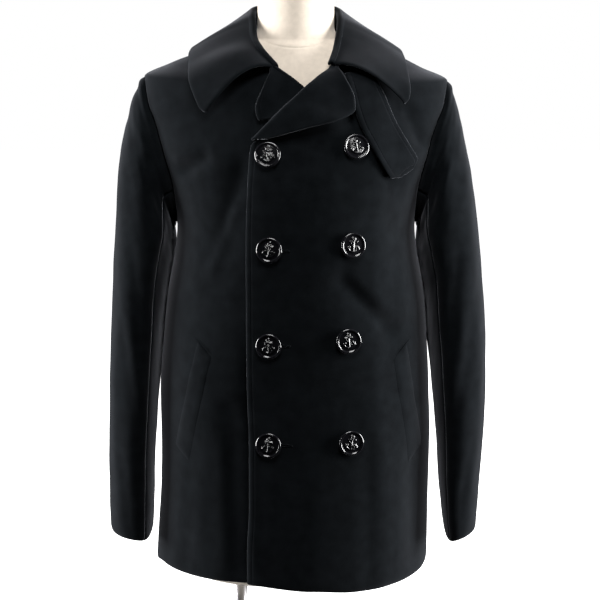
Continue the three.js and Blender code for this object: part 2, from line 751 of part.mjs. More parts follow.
function turned(name, profile, count, material, place) {
  const points = [];
  const faces = [];
  profile.forEach(([radius, height]) => {
    for (let i = 0; i < count; i += 1) {
      const a = 2 * Math.PI * i / count;
      points.push(new THREE.Vector3(radius * Math.cos(a), radius * Math.sin(a), height));
    }
  });
  const low = points.length;
  points.push(new THREE.Vector3(0, 0, profile[0][1]), new THREE.Vector3(0, 0, profile.at(-1)[1]));
  const top = (profile.length - 1) * count;
  for (let i = 0; i < count; i += 1) {
    const next = (i + 1) % count;
    faces.push([low, next, i], [low + 1, top + i, top + next]);
    for (let k = 0; k + 1 < profile.length; k += 1) {
      const a = k * count;
      faces.push([a + i, a + next, a + count + next], [a + i, a + count + next, a + count + i]);
    }
  }
  points.forEach((p) => p.applyMatrix4(place));
  return solid(name, points, faces, material);
}

function makeButtons() {
  return BUTTONS.map(([x, z], i) => {
    const base = onFront(x, z, leftLift(x, z) + 0.7);
    const normal = bodyNormal(z, frontAngle(z, x));
    const turn = new THREE.Quaternion().setFromUnitVectors(new THREE.Vector3(0, 0, 1), normal);
    const place = new THREE.Matrix4().compose(base, turn, new THREE.Vector3(1, 1, 1));
    const profile = BUTTON_PROFILE.map(([r, h]) => [r * BUTTON_RADIUS / 17, h]);
    return turned(`button_${i + 1}`, profile, 18, BLACK, place);
  });
}

function makeForm() {
  const count = 32;
  const points = [];
  const faces = [];
  const heights = [];
  FORM.rows.forEach((row, i) => {
    heights.push(row[0]);
    const next = FORM.rows[i + 1];
    if (next && next[0] - row[0] > 30) heights.push((row[0] + next[0]) / 2);
  });
  heights.forEach((z) => {
    for (let i = 0; i < count; i += 1) {
      points.push(ringPoint(FORM, z, 2 * Math.PI * i / count));
    }
  });
  const low = points.length;
  points.push(new THREE.Vector3(0, 0, FORM_BOTTOM_Z), new THREE.Vector3(0, 0, heights.at(-1) + 1));
  const top = (heights.length - 1) * count;
  for (let i = 0; i < count; i += 1) {
    const next = (i + 1) % count;
    faces.push([low, i, next], [low + 1, top + next, top + i]);
    for (let k = 0; k + 1 < heights.length; k += 1) {
      const a = k * count;
      faces.push([a + i, a + count + next, a + next], [a + i, a + count + i, a + count + next]);
    }
  }
  return solid('dress_form', points, faces, LINEN);
}

function makeStand() {
  const move = (x, z) => new THREE.Matrix4().makeTranslation(x, 0, z);
  const poleLength = FORM_BOTTOM_Z - BASE_HEIGHT - 2 * SEAM;
  const pole = [[POLE_RADIUS, 0], [POLE_RADIUS, poleLength]];
  const plate = [[BASE_RADIUS, 0], [BASE_RADIUS, BASE_HEIGHT - 2], [BASE_RADIUS - 2, BASE_HEIGHT]];
  return [
    turned('stand_pole', pole, 24, STEEL, move(POLE_X, BASE_HEIGHT + SEAM)),
    turned('stand_base', plate, 48, STEEL, move(0, 0)),
  ];
}

const coat = new THREE.Group();
coat.name = 'pea_coat';
coat.add(...makeFronts(), ...makeBacks(), ...makeSleeves(), makeCollar(), ...makeLapels());
coat.add(makeLatch(), ...makeWelts(), ...makeButtons(), makeForm(), ...makeStand());

export default coat;
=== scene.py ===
"""Pea coat on a dress form: the cloth, buttons, form and stand at their fine resolution.

Every surface is worked out from the same named sizes as the solids, in millimetres, and
is put into its mesh in metres. The front faces -Y and the wearer's left is +X.
"""

import math

import bmesh
import bpy
import numpy as np
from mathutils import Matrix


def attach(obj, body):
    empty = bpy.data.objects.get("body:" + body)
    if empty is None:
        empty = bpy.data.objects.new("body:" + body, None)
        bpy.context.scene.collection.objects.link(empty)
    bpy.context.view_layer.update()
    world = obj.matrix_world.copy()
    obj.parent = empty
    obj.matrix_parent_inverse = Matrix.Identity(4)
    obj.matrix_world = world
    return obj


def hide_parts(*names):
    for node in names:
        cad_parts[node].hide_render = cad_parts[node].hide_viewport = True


bl_info = {
    "name": "Pea coat on a dress form",
    "version": (1, 0, 0),
    "blender": (4, 5, 0),
    "location": "3D View > Sidebar > Pea Coat",
    "description": "Builds a double-breasted pea coat on its dress form and stand",
    "category": "Add Mesh",
}

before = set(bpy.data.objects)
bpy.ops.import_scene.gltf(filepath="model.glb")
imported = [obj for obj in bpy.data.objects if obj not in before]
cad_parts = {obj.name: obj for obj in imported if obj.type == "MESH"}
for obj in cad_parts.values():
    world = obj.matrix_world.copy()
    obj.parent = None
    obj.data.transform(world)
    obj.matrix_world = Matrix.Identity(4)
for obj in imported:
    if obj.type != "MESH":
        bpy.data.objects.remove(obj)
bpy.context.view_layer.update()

METRES = 0.001
CLOTH = 3.0
COLLAR_CLOTH = 3.6
UNDERARM_Z = 705.0
SHOULDER_Z = 900.0
NECK_Z = 964.0
HEM_Z = 230.0
OVERLAP_LIFT = 4.6
ROLL_SETBACK = 5.0
HEM_RISE = 9.0
HEM_DROP = 4.0
SHOULDER_RISE = 6.0
VENT_TOP_Z = 420.0
VENT_WIDTH = 36.0
SEAM = 0.3
SLEEVE_LEAN = 9.0
SLEEVE_CLOSE = 4.0


# Tables of the coat's form

BODY = {
    "z": [220, 275, 350, 408, 480, 555, 612, 665, 705, 753, 805, 846, 870, 900, 918, 935, 950, 964],
    "centre": [-6.5, -4.5, -1.5, -0.8, -2, -1, 0, 0, 0, 0, 0, 0, 0, 0, 0, 0, 0, 0],
    "half": [193, 191, 189, 189, 188, 183, 177.5, 168, 164, 174, 192, 203, 209, 207, 171, 138, 104, 70],
    "front": [162, 160, 156, 153, 150, 149, 149, 150, 150, 148, 141, 128, 117, 103, 90, 78, 69, 62],
    "back": [150, 148, 144, 140, 134, 129, 128, 131, 134, 136, 134, 126, 117, 103, 93, 84, 76, 68],
    "power": [2.35, 2.35, 2.4, 2.4, 2.45, 2.45, 2.45, 2.45, 2.4, 2.35, 2.3, 2.15, 2.05, 1.85, 1.65,
              1.55, 1.55, 1.6],
}

LEVEL = {
    "z": [220, 300, 880, 930, 964],
    "front_rise": [-5, 0, 0, 0, 0],
    "back_rise": [2, 0, 0, 8, 20],
}

LEFT_EDGE = {
    "z": [220, 264, 348, 431, 486, 553, 687, 753, 800, 822, 831, 850, 870, 891, 905, 918, 936, 955, 964],
    "x": [-64.5, -64, -60.5, -60.5, -63, -64, -64, -63, -60.5, -57, -46, -25, -4, 18.5, 35, 50, 57, 61, 63],
}

RIGHT_EDGE = {
    "z": [220, 780, 805, 822, 831, 850, 870, 891, 905, 918, 936, 955, 964],
    "x": [92, 92, 88, 76, 65, 46, 27, 8.5, -9, -28, -47, -59, -63],
}

FOLD_COLUMNS = ("x1", "z1", "x2", "z2", "width", "height")

FOLDS = [
    (-118, 812, -150, 786, 16, -4),
    (-66, 806, -108, 672, 24, -4.5),
    (58, 650, 135, 560, 24, -4.5),
    (146, 868, 168, 822, 14, -3),
    (-128, 540, -150, 300, 30, 3.5),
    (-84, 470, -78, 235, 17, -4.5),
    (112, 470, 128, 240, 28, 4),
    (160, 400, 168, 235, 20, -3.5),
]

BACK_FOLDS = [
    (-150, 800, -95, 690, 24, -4),
    (148, 806, 100, 700, 22, -4),
    (-110, 520, -122, 240, 32, 4),
    (105, 500, 118, 240, 30, 3.5),
    (-50, 610, 60, 590, 22, -3),
]

# Finer creases of the front, by the same columns
CREASES = [
    (-120, 806, -156, 780, 8, -2.6),
    (-126, 818, -158, 800, 7, 2.0),
    (-70, 800, -98, 706, 10, -2.6),
    (-78, 742, -112, 655, 9, 2.2),
    (62, 646, 128, 570, 10, -3.0),
    (74, 652, 140, 590, 10, 2.2),
    (148, 866, 170, 818, 7, -2.0),
    (-96, 640, -150, 600, 12, -1.2),
    (90, 730, 150, 700, 12, -1.2),
    (-20, 765, 50, 772, 14, 1.0),
    (-20, 640, 48, 628, 14, -1.0),
    (-14, 510, 56, 500, 14, -0.9),
    (-100, 430, -96, 250, 10, 1.3),
    (-140, 420, -150, 240, 12, -2.2),
    (30, 400, 24, 240, 22, 1.2),
    (96, 420, 100, 240, 13, -2.2),
    (-34, 390, -40, 250, 14, -1.0),
    (120, 500, 165, 470, 10, -1.2),
    (-112, 520, -160, 500, 9, 1.1),
]

BACK_CREASES = [
    (-140, 790, -100, 700, 9, -1.5),
    (138, 800, 104, 712, 9, -1.4),
    (-80, 880, -120, 850, 14, -1.2),
    (70, 884, 124, 852, 14, -1.3),
    (-60, 640, 30, 620, 11, -1.3),
    (-20, 600, 70, 575, 11, 1.0),
    (-95, 440, -100, 250, 14, -1.3),
    (60, 430, 66, 250, 14, 1.2),
    (100, 640, 150, 600, 11, -1.2),
    (-150, 650, -104, 600, 12, -1.1),
]

SLEEVE_COLUMNS = ("in_x", "in_z", "out_x", "out_z", "middle", "depth", "power")

LEFT_SLEEVE = [
    (164, 705, 207, 900, 0, 60, 2),
    (168, 708, 210.5, 893.5, 0, 63, 2.05),
    (172, 705, 214.5, 884, 0, 67, 2.1),
    (169, 696, 219.5, 871.5, 0, 70, 2.15),
    (169.2, 684, 225, 851, 0, 73, 2.2),
    (170.4, 670, 230, 828, -1, 76, 2.3),
    (172.2, 654, 236, 800, -2, 78, 2.3),
    (175, 636, 242, 767, -3, 79, 2.3),
    (179.2, 612, 248, 730, -4, 79, 2.3),
    (182, 585, 253, 688, -5, 79, 2.3),
    (184.8, 555, 258, 640, -6, 78, 2.3),
    (188, 520, 262, 588, -8, 77, 2.3),
    (191, 480, 264.5, 532, -10, 76, 2.3),
    (194.6, 436, 265, 474, -13, 74, 2.3),
    (198.5, 390, 263, 415, -16, 71, 2.3),
    (201.6, 345, 259.5, 357, -19, 68, 2.3),
    (205.4, 304, 256, 312, -21, 66, 2.3),
    (210.5, 267, 254, 279, -23, 64, 2.3),
]

RIGHT_SLEEVE = [
    (164, 705, 207, 900, 0, 60, 2),
    (168, 708, 212, 894, 0, 63, 2.05),
    (172, 705, 217, 886, 0, 67, 2.1),
    (169, 696, 224, 873, 0, 70, 2.15),
    (169.2, 684, 229.7, 852, 0, 73, 2.2),
    (170.4, 670, 235.6, 830, -1, 76, 2.3),
    (172.2, 654, 241.6, 802, -2, 78, 2.3),
    (175, 636, 245.1, 768, -3, 79, 2.3),
    (179.2, 612, 247.2, 730, -4, 79, 2.3),
    (182.8, 585, 250.2, 688, -5, 79, 2.3),
    (186.2, 555, 253.3, 640, -6, 78, 2.3),
    (189.4, 520, 256.3, 588, -8, 77, 2.3),
    (192, 480, 258.8, 532, -10, 76, 2.3),
    (195.2, 436, 260.8, 474, -13, 74, 2.3),
    (198, 390, 261.8, 415, -16, 71, 2.3),
    (200, 345, 262.8, 357, -19, 68, 2.3),
    (201.2, 305, 262.8, 311, -21, 66, 2.3),
    (203, 269, 261.5, 277, -23, 64, 2.3),
]

# Creases of the sleeves: ring and angle of both ends, half width, height
SLEEVE_CREASES = [
    (1.5, 62, 6, 78, 1.1, 1.8),
    (2.0, 118, 5.5, 100, 0.9, -2.4),
    (3.5, 128, 8, 96, 0.8, 1.8),
    (4, 140, 9, 118, 0.9, -2.2),
    (8, 70, 11, 95, 0.8, -1.6),
    (9.5, 60, 12.5, 100, 0.9, 1.8),
    (11, 58, 13.5, 104, 0.8, -1.8),
    (6, 30, 10, 55, 1.1, 1.4),
    (12, 38, 15.5, 62, 0.9, 1.5),
    (13.5, 50, 16.2, 84, 0.8, -1.5),
    (4, -60, 8, -84, 0.9, -1.8),
    (8.5, -70, 12, -98, 0.9, 1.8),
    (10.5, -60, 13.5, -92, 0.8, -1.7),
    (13.5, -46, 16, -74, 0.8, 1.3),
    (2, -112, 6, -96, 0.9, 1.6),
]

COLLAR_COLUMNS = (
    "seam_z", "seam_angle", "fold_x", "fold_y", "fold_z", "edge_x", "edge_z", "lift", "swell", "arch",
)

COLLAR = [
    (926, 0, 47, -90, 929, 142.6, 867, 13, 15, 11),
    (940, 0, 54, -60, 946, 146, 890, 10, 10, 5),
    (953, 0, 58, -38, 963, 146, 912, 7, 7, 0),
    (964, 67, 60.5, -20, 977, 143, 926, 6, 6, 0),
    (964, 82, 61, -3, 987, 139, 935, 5, 5, 0),
    (964, 105, 58, 26, 996, 128, 922, 5, 5, 0),
    (964, 140, 38, 53, 1001, 84, 905, 5, 6, 0),
    (964, 180, 0, 63, 1003, 0, 898, 5, 6, 0),
    (964, 220, -38, 53, 1001, -84, 905, 5, 6, 0),
    (964, 255, -58, 26, 997, -127, 922, 5, 5, 0),
    (964, 278, -60, -3, 989, -138, 936, 5, 5, 0),
    (964, 293, -58.5, -20, 978, -141, 930, 6, 6, 0),
    (953, 0, -56, -44, 961, -140, 917, 7, 7, 0),
    (940, 0, -45, -71, 945, -136, 896, 10, 10, 7),
    (925, 0, -27, -92, 926, -117, 856, 13, 14, 17),
]

LAPEL_COLUMNS = ("roll_z", "edge_x", "edge_z", "lift")

LEFT_LAPEL = [
    (827.7, -38, 827.5, 1.5),
    (851.2, 14, 839.5, 4),
    (871.4, 50, 848, 5),
    (887, 74, 863, 6),
    (896.7, 73, 877, 6),
    (908, 63, 898, 5),
    (918, 55, 912, 4),
    (927, 49, 925, 3.2),
]

RIGHT_LAPEL = [
    (871.4, -6, 857, 0.6),
    (887, -46, 853, 1.2),
    (896.7, -51, 868, 2.5),
    (908, -42, 892, 3),
    (918, -33, 910, 3),
    (927, -27, 925, 2.6),
]

LATCH = {
    "along": [-1, 0, 1, 2, 3, 4, 5, 6],
    "x": [81.5, 90, 96, 104, 117, 131, 139, 143],
    "z": [915, 889, 873, 853, 828, 804, 791, 784.5],
    "width": [0.8, 0.85, 0.95, 1, 1, 1, 0.98, 0.42],
}
LATCH_HALF_WIDTH = 22.5

BUTTONS = [
    (-35.8, 810), (-34, 688), (-35.3, 560), (-35.7, 426.5),
    (77.3, 819), (72.8, 693), (68.2, 566), (72.2, 428),
]
BUTTONHOLES = [(-22, 686.5), (-21, 560), (-19, 425.8)]

WELTS = [("pocket_welt_right", -1, -130.6, 562, 0.22), ("pocket_welt_left", 1, 150, 556, 0.16)]
WELT_WIDTH = 28.0
WELT_LENGTH = 150.0
MOUTH_LENGTH = 25.0

FORM = {
    "z": [208, 214, 235, 300, 360, 430, 500, 560, 620, 680, 740, 800, 846, 875, 892, 903, 918, 935, 948,
          958, 972, 990, 1030, 1037, 1041],
    "half": [149, 157, 160, 165, 166, 158, 146, 139, 143, 150, 158, 176, 191, 197, 196, 192, 162.5, 129.5,
             100, 61, 52.5, 52, 52, 49, 38],
    "front": [98, 105, 108, 114, 117, 116, 113, 113, 120, 130, 133, 130, 116, 102, 94, 89, 80, 68.5, 60,
              53, 51, 50, 50, 47, 36],
    "back": [105, 112, 115, 120, 120, 110, 100, 96, 101, 112, 120, 122, 114, 102, 95, 91, 83, 74.5, 67,
             58, 54, 53, 53, 50, 39],
    "power": [2.2, 2.2, 2.2, 2.2, 2.2, 2.2, 2.2, 2.2, 2.2, 2.2, 2.2, 2.15, 2.1, 2, 1.9, 1.82, 1.65, 1.55,
              1.55, 1.8, 2, 2, 2, 2, 2],
    "centre": [0] * 25,
}


# Reading tables and shaping numbers

def read(table, name, at, key="z"):
    """Cubic curve through a column's rows, its slopes the harmonic mean of the steps beside them."""
    xs = np.asarray(table[key], float)
    ys = np.asarray(table[name], float)
    steps = np.diff(ys) / np.diff(xs)
    slopes = np.concatenate([steps[:1], np.zeros(len(xs) - 2), steps[-1:]])
    before, after = steps[:-1], steps[1:]
    same = before * after > 0
    total = np.where(same, before + after, 1.0)
    slopes[1:-1] = np.where(same, 2 * before * after / total, 0.0)
    at = np.clip(np.asarray(at, float), xs[0], xs[-1])
    i = np.clip(np.searchsorted(xs, at) - 1, 0, len(xs) - 2)
    width = xs[i + 1] - xs[i]
    t = (at - xs[i]) / width
    rest = 1 - t
    low = ys[i] * (1 + 2 * t) * rest * rest + slopes[i] * width * t * rest * rest
    return low + ys[i + 1] * t * t * (3 - 2 * t) - slopes[i + 1] * width * t * t * rest


def smooth(value, low, high):
    """0 below low, 1 above high, an S-shaped rise between."""
    t = np.clip((value - low) / (high - low), 0, 1)
    return t * t * (3 - 2 * t)


def power(value, exponent):
    """The size of value to a power, with its sign kept."""
    return np.sign(value) * np.abs(value) ** exponent


# The body surface, by height and by angle from the middle of the front

def ring_point(table, z, angle):
    """Superellipse ring: sine and cosine to the power 2/n, times half width and depth."""
    n = read(table, "power", z)
    s = power(np.sin(angle), 2 / n)
    c = power(np.cos(angle), 2 / n)
    reach = np.where(c > 0, read(table, "front", z), read(table, "back", z))
    x = read(table, "centre", z) + read(table, "half", z) * s
    return np.stack([x, -reach * c, np.broadcast_to(z, x.shape) * 1.0], axis=-1)


def ring_field(z, x, y):
    """1 on a ring, less inside it, more outside."""
    n = read(BODY, "power", z)
    reach = np.where(y < 0, read(BODY, "front", z), read(BODY, "back", z))
    u = np.abs(x - read(BODY, "centre", z)) / read(BODY, "half", z)
    return u ** n + (np.abs(y) / reach) ** n


def body_normal(z, angle):
    """Slope of the ring field in x, y and z, made one unit long."""
    p = ring_point(BODY, z, angle)
    x, y = p[..., 0], p[..., 1]
    step = 1.5
    dx = ring_field(z, x + step, y) - ring_field(z, x - step, y)
    dy = ring_field(z, x, y + step) - ring_field(z, x, y - step)
    low = np.maximum(z - step, 222)
    high = np.minimum(z + step, NECK_Z)
    gap = np.maximum(high - low, 0.2)
    dz = (ring_field(high, x, y) - ring_field(low, x, y)) * 2 * step / gap
    n = np.stack([dx, dy, dz], axis=-1)
    return n / np.linalg.norm(n, axis=-1, keepdims=True)


def fold_height(folds, x, z):
    """Sum of soft troughs and ridges, each a bell curve across a line, fading at its ends."""
    height = np.zeros(np.broadcast(x, z).shape)
    for x1, z1, x2, z2, width, amount in folds:
        dx, dz = x2 - x1, z2 - z1
        along = ((x - x1) * dx + (z - z1) * dz) / (dx * dx + dz * dz)
        t = np.clip(along, 0, 1)
        away = np.hypot(x - x1 - dx * t, z - z1 - dz * t) / width
        ends = smooth(along, -0.35, 0.2) * smooth(1 - along, -0.35, 0.2)
        height = height + amount * np.exp(-away * away) * ends
    return height


def cloth_rest(x, z):
    """Slow unevenness of heavy cloth: three crossed waves of different length."""
    a = 0.25 * np.sin(x / 31 + z / 57 + 0.6) * np.sin(z / 43 - x / 90)
    b = 0.12 * np.sin(x / 15 - z / 27 + 2.0) * np.sin(z / 21 + x / 60 + 1.0)
    return a + b + 0.04 * np.sin(x / 8.0 + z / 12.0) * np.sin(z / 9.0 - x / 23.0)


def unevenness(x, z, c):
    """The right shoulder sits higher, and the front hem rises to the right and drops to the left."""
    shoulder = SHOULDER_RISE * smooth(-x, 120, 175) * smooth(z, 820, 895)
    hem = HEM_RISE * smooth(-x, -25, 75) - HEM_DROP * smooth(x, 20, 80)
    return shoulder + hem * smooth(c, 0.05, 0.4) * (1 - smooth(z, 240, 340))


def body_point(z, angle, lift, fine=1.0):
    """Ring point, with its rise, moved out along the normal by lift, folds and creases."""
    p = ring_point(BODY, z, angle)
    c = np.cos(angle)
    rise = np.where(c > 0, read(LEVEL, "front_rise", z), read(LEVEL, "back_rise", z))
    x = p[..., 0]
    front = fold_height(FOLDS, x, z) + fine * fold_height(CREASES, x, z)
    back = fold_height(BACK_FOLDS, x, z) + fine * fold_height(BACK_CREASES, x, z)
    soft = np.where(c > 0, front, back) * smooth(np.abs(c), 0.02, 0.3)
    soft = soft + fine * cloth_rest(x + 40 * c, z)
    p[..., 2] += c * c * rise + unevenness(x, z, c)
    return p + (lift + soft)[..., None] * body_normal(z, angle)


def front_angle(z, x):
    """Angle at which the ring passes x in the front."""
    u = np.clip((x - read(BODY, "centre", z)) / read(BODY, "half", z), -1, 1)
    return np.arcsin(power(u, read(BODY, "power", z) / 2))


def left_lift(x, z):
    """How far the left front stands off the body rings: over the right front, at the lapel, at its edge."""
    base = OVERLAP_LIFT * smooth(-x, -135, -100) * (1 - smooth(z, 890, 925))
    lapel = 8 * smooth(z, 822, 849) * smooth(-x, -78, -40) * (1 - smooth(z, 885, 920))
    edge = 4 * smooth(-x, 15, 60) * smooth(z, 225, 300) * (1 - smooth(z, 430, 520))
    return base + lapel + edge


def right_lift(x, z):
    """The right front sinks in a soft trough below the left front's edge, from the waist to the hem."""
    trough = np.exp(-((x + 56) / 15) ** 2) * smooth(-z, -620, -470)
    return -6.0 * trough * (1 - 0.4 * smooth(-z, -260, -235))


def no_lift(x, z):
    """The lapels and the backs lie on the rings themselves."""
    return np.zeros(np.broadcast(x, z).shape)


def on_front(x, z, lift, fine=1.0):
    """A point of the front view carried onto the body."""
    return body_point(z, front_angle(z, x), lift, fine)


def armhole_turn(z):
    """Half circle between the underarm and the shoulder tip."""
    t = (z - UNDERARM_Z) / (SHOULDER_Z - UNDERARM_Z)
    return np.sqrt(np.clip(np.sin(math.pi * np.clip(t, 0, 1)), 0, 1))


def side_angle(z, front):
    """Angle of the side seam, the armhole and the shoulder seam, one above the other."""
    return np.radians(90 + armhole_turn(z) * np.where(front, -24.0, 21.0))


# Meshes

def link(mesh, name):
    """A new object at the origin that holds this mesh."""
    obj = bpy.data.objects.new(name, mesh)
    bpy.context.scene.collection.objects.link(obj)
    return obj


def fill_mesh(name, points, faces, uv=None):
    """Mesh from points in millimetres and quads, shaded smooth, with its own UV map in metres."""
    mesh = bpy.data.meshes.new(name)
    mesh.from_pydata((points * METRES).tolist(), [], faces.tolist())
    mesh.shade_smooth()
    if uv is not None:
        layer = mesh.uv_layers.new(name="stitch")
        corners = np.empty(len(mesh.loops), dtype=np.int32)
        mesh.loops.foreach_get("vertex_index", corners)
        layer.data.foreach_set("uv", (uv[corners] * METRES).astype(np.float32).ravel())
    mesh.update()
    return mesh


def edge_distance(grid, edges):
    """Distance to the nearest of the named free edges, and the length along it, over the grid."""
    across = np.linalg.norm(np.diff(grid, axis=1), axis=-1)
    along = np.linalg.norm(np.diff(grid, axis=0), axis=-1)
    from_start = np.pad(np.cumsum(across, axis=1), ((0, 0), (1, 0)))
    from_first = np.pad(np.cumsum(along, axis=0), ((1, 0), (0, 0)))
    far = np.full(grid.shape[:2], 500.0)
    run = np.zeros(grid.shape[:2])
    reach = {
        "start": (from_start, from_first),
        "end": (from_start[:, -1:] - from_start, from_first),
        "first": (from_first, from_start),
        "last": (from_first[-1:] - from_first, from_start),
    }
    for name in edges:
        distance, length = reach[name]
        run = np.where(distance < far, length, run)
        far = np.minimum(distance, far)
    return far, run


def boundary(rows, cols):
    """Indices round the grid, once, in order."""
    ids = np.arange(rows * cols).reshape(rows, cols)
    return np.concatenate([ids[0, :-1], ids[:-1, -1], ids[-1, :0:-1], ids[:0:-1, 0]])


def cloth_wall(name, outer, inner, free=(), stitched=(), bulge=0.9):
    """Wall between two grids, with a rounded lip where an edge is free and a flat one at a seam."""
    rows, cols = outer.shape[:2]
    if "first" in free or "last" in free or "start" in free or "end" in free:
        far_free, _ = edge_distance(outer, free)
    else:
        far_free = np.full((rows, cols), 500.0)
    away = outer - inner
    size = np.linalg.norm(away, axis=-1, keepdims=True)
    turn_in = np.exp(-(far_free / 1.1) ** 2)[..., None]
    outer = outer - away / size * 0.7 * turn_in
    inner = inner + away / size * 0.7 * turn_in
    middle = (outer + inner) / 2
    out_of = np.zeros_like(middle)
    out_of[0] += middle[0] - middle[1]
    out_of[-1] += middle[-1] - middle[-2]
    out_of[:, 0] += middle[:, 0] - middle[:, 1]
    out_of[:, -1] += middle[:, -1] - middle[:, -2]
    loop = boundary(rows, cols)
    flat = out_of.reshape(-1, 3)[loop]
    flat = flat / np.maximum(np.linalg.norm(flat, axis=-1, keepdims=True), 1e-6)
    is_free = far_free.reshape(-1)[loop] < 0.01
    lip = middle.reshape(-1, 3)[loop] + flat * np.where(is_free, bulge, 0.0)[:, None]
    points = np.concatenate([outer.reshape(-1, 3), inner.reshape(-1, 3), lip])
    ids = np.arange(rows * cols).reshape(rows, cols)
    quad = np.stack([ids[:-1, :-1], ids[:-1, 1:], ids[1:, 1:], ids[1:, :-1]], axis=-1).reshape(-1, 4)
    back = quad[:, ::-1] + rows * cols
    k = np.arange(len(loop))
    nxt = np.roll(k, -1)
    base = 2 * rows * cols
    rim_out = np.stack([loop[nxt], loop[k], base + k, base + nxt], axis=-1)
    rim_in = np.stack([base + nxt, base + k, loop[k] + rows * cols, loop[nxt] + rows * cols], axis=-1)
    faces = np.concatenate([quad, back, rim_out, rim_in])
    if volume_of(points, faces) < 0:
        faces = faces[:, ::-1]
    far, run = edge_distance(outer, stitched) if stitched else (np.full((rows, cols), 500.0), np.zeros((rows, cols)))
    flat_uv = np.stack([far, run], axis=-1).reshape(-1, 2)
    hidden = np.full((rows * cols, 2), 500.0)
    uv = np.concatenate([flat_uv, hidden, flat_uv[loop]])
    return link(fill_mesh(name, points, faces, uv), name)


def volume_of(points, faces):
    """Signed volume inside closed quads, from the triangles that they split into."""
    a, b, c, d = (points[faces[:, i]] for i in range(4))
    return float(np.sum(a * np.cross(b, c)) + np.sum(a * np.cross(c, d)))


def declare(obj, node, grid):
    """Puts a piece under its body, hides its CAD node, and prints the cut of its cloth."""
    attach(obj, "root")
    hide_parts(node)
    across = np.linalg.norm(np.diff(grid, axis=1), axis=-1)
    along = np.linalg.norm(np.diff(grid, axis=0), axis=-1)
    width = float(across.sum(axis=1).max()) * METRES
    length = float(along.sum(axis=0).max()) * METRES
    p, q, r, s = grid[:-1, :-1], grid[:-1, 1:], grid[1:, 1:], grid[1:, :-1]
    area = np.linalg.norm(np.cross(q - p, r - p), axis=-1) + np.linalg.norm(np.cross(r - p, s - p), axis=-1)
    area = float(area.sum()) / 2 * METRES * METRES
    area = min(max(area, 0.305 * width * length), width * length)
    print(f"sheet {node}: {width * 1000:.0f} x {length * 1000:.0f} mm, {area * 1e4:.0f} cm2")


# Rows of the body, close together where the armhole and the lapel turn

def body_rows(count):
    """Heights from the hem to the neck, equally spaced below the arms and by a cosine beside them."""
    low = np.linspace(HEM_Z, UNDERARM_Z, int(count * 0.5), endpoint=False)
    turn = np.linspace(0, math.pi, int(count * 0.36), endpoint=False)
    beside = (UNDERARM_Z + SHOULDER_Z) / 2 - (SHOULDER_Z - UNDERARM_Z) / 2 * np.cos(turn)
    top = np.linspace(SHOULDER_Z, NECK_Z, int(count * 0.14))
    return np.concatenate([low, beside, top])


def side_gap(z):
    """Half a seam gap as an angle, where the superellipse gathers its points."""
    gap = (SEAM * 0.7 / read(BODY, "front", z)) ** (read(BODY, "power", z) / 2)
    return np.where(armhole_turn(z) > 0, 0.0, gap)


def centre_gap(z):
    """Half a seam gap at the middle of the back."""
    return (SEAM * 0.7 / read(BODY, "half", z)) ** (read(BODY, "power", z) / 2)


def seam_groove(distance):
    """A pressed seam: the cloth dips over its last two millimetres."""
    return -0.9 * np.exp(-(distance / 1.8) ** 2) + 0.35 * np.exp(-((distance - 5.5) / 3.0) ** 2)


def body_panel(name, node, start, end, lift_at, cols, free, stitched, seams, gather=1.6):
    """Cloth between two angles of every ring, closer columns beside the start edge."""
    z = body_rows(230)[:, None]
    t = np.linspace(0, 1, cols)[None, :] ** gather
    angle = start(z) + (end(z) - start(z)) * t
    x = ring_point(BODY, z, angle)[..., 0]
    plain = body_point(z, angle, lift_at(x, z, angle))
    far, _ = edge_distance(plain, seams)
    dip = seam_groove(far)
    outer = body_point(z, angle, lift_at(x, z, angle) + dip)
    inner = body_point(z, angle, lift_at(x, z, angle) - CLOTH, fine=0.7)
    obj = cloth_wall(name, outer, inner, free, stitched)
    declare(obj, node, outer)
    return obj


def vent_lift(z, angle):
    """The right back stands out over the left one at the vent."""
    near = smooth(np.degrees(np.abs(angle)), 140, 158)
    return 4 * near * (1 - smooth(z, VENT_TOP_Z + 30, VENT_TOP_Z + 90))


# Sleeves: angle 0 is the outer side, 90 the front, 180 next to the body

def sleeve_loop(rows, side, ring, angle):
    """Superellipse between the ring's inner and outer points, its front leaning to the body."""
    table = {name: [row[i] for row in rows] for i, name in enumerate(SLEEVE_COLUMNS)}
    table["ring"] = list(range(len(rows)))
    value = {name: read(table, name, ring, "ring") for name in SLEEVE_COLUMNS}
    c = power(np.cos(angle), 2 / value["power"])
    s = power(np.sin(angle), 2 / value["power"])
    x = (value["in_x"] + value["out_x"]) / 2 + (value["out_x"] - value["in_x"]) / 2 * c
    x = x - SLEEVE_LEAN * np.maximum(np.sin(angle), 0) ** 2 * smooth(ring, 2, 6)
    behind = np.exp(-((s + 0.45) / 0.3) ** 2) * np.maximum(-c, 0)
    x = x - SLEEVE_CLOSE * behind * smooth(ring, 3, 5) * (1 - smooth(ring, 10, 13))
    z = (value["in_z"] + value["out_z"]) / 2 + (value["out_z"] - value["in_z"]) / 2 * c
    return np.stack([side * x, value["middle"] - value["depth"] * s, z], axis=-1)


def armhole_point(side, angle, depth):
    """The armhole's edge, a little inside it, carried to a depth in the cloth."""
    gap = SEAM * 2.4
    middle = (UNDERARM_Z + SHOULDER_Z) / 2
    half = (SHOULDER_Z - UNDERARM_Z) / 2
    edge = side_angle(middle + half * np.cos(angle), np.sin(angle) > 0)
    turn = gap / 110 * np.sin(angle)
    return body_point(middle + (half - gap) * np.cos(angle), side * (edge + turn), -depth, fine=0.0)


def sleeve_point(rows, side, ring, angle):
    """Sleeve ring, near the body bent to meet the armhole's own edge."""
    p = sleeve_loop(rows, side, ring, angle)
    keep = (1 - smooth(ring, 0, 5))[..., None]
    shift = armhole_point(side, angle, 0) - sleeve_loop(rows, side, np.zeros_like(ring), angle)
    return p + shift * keep


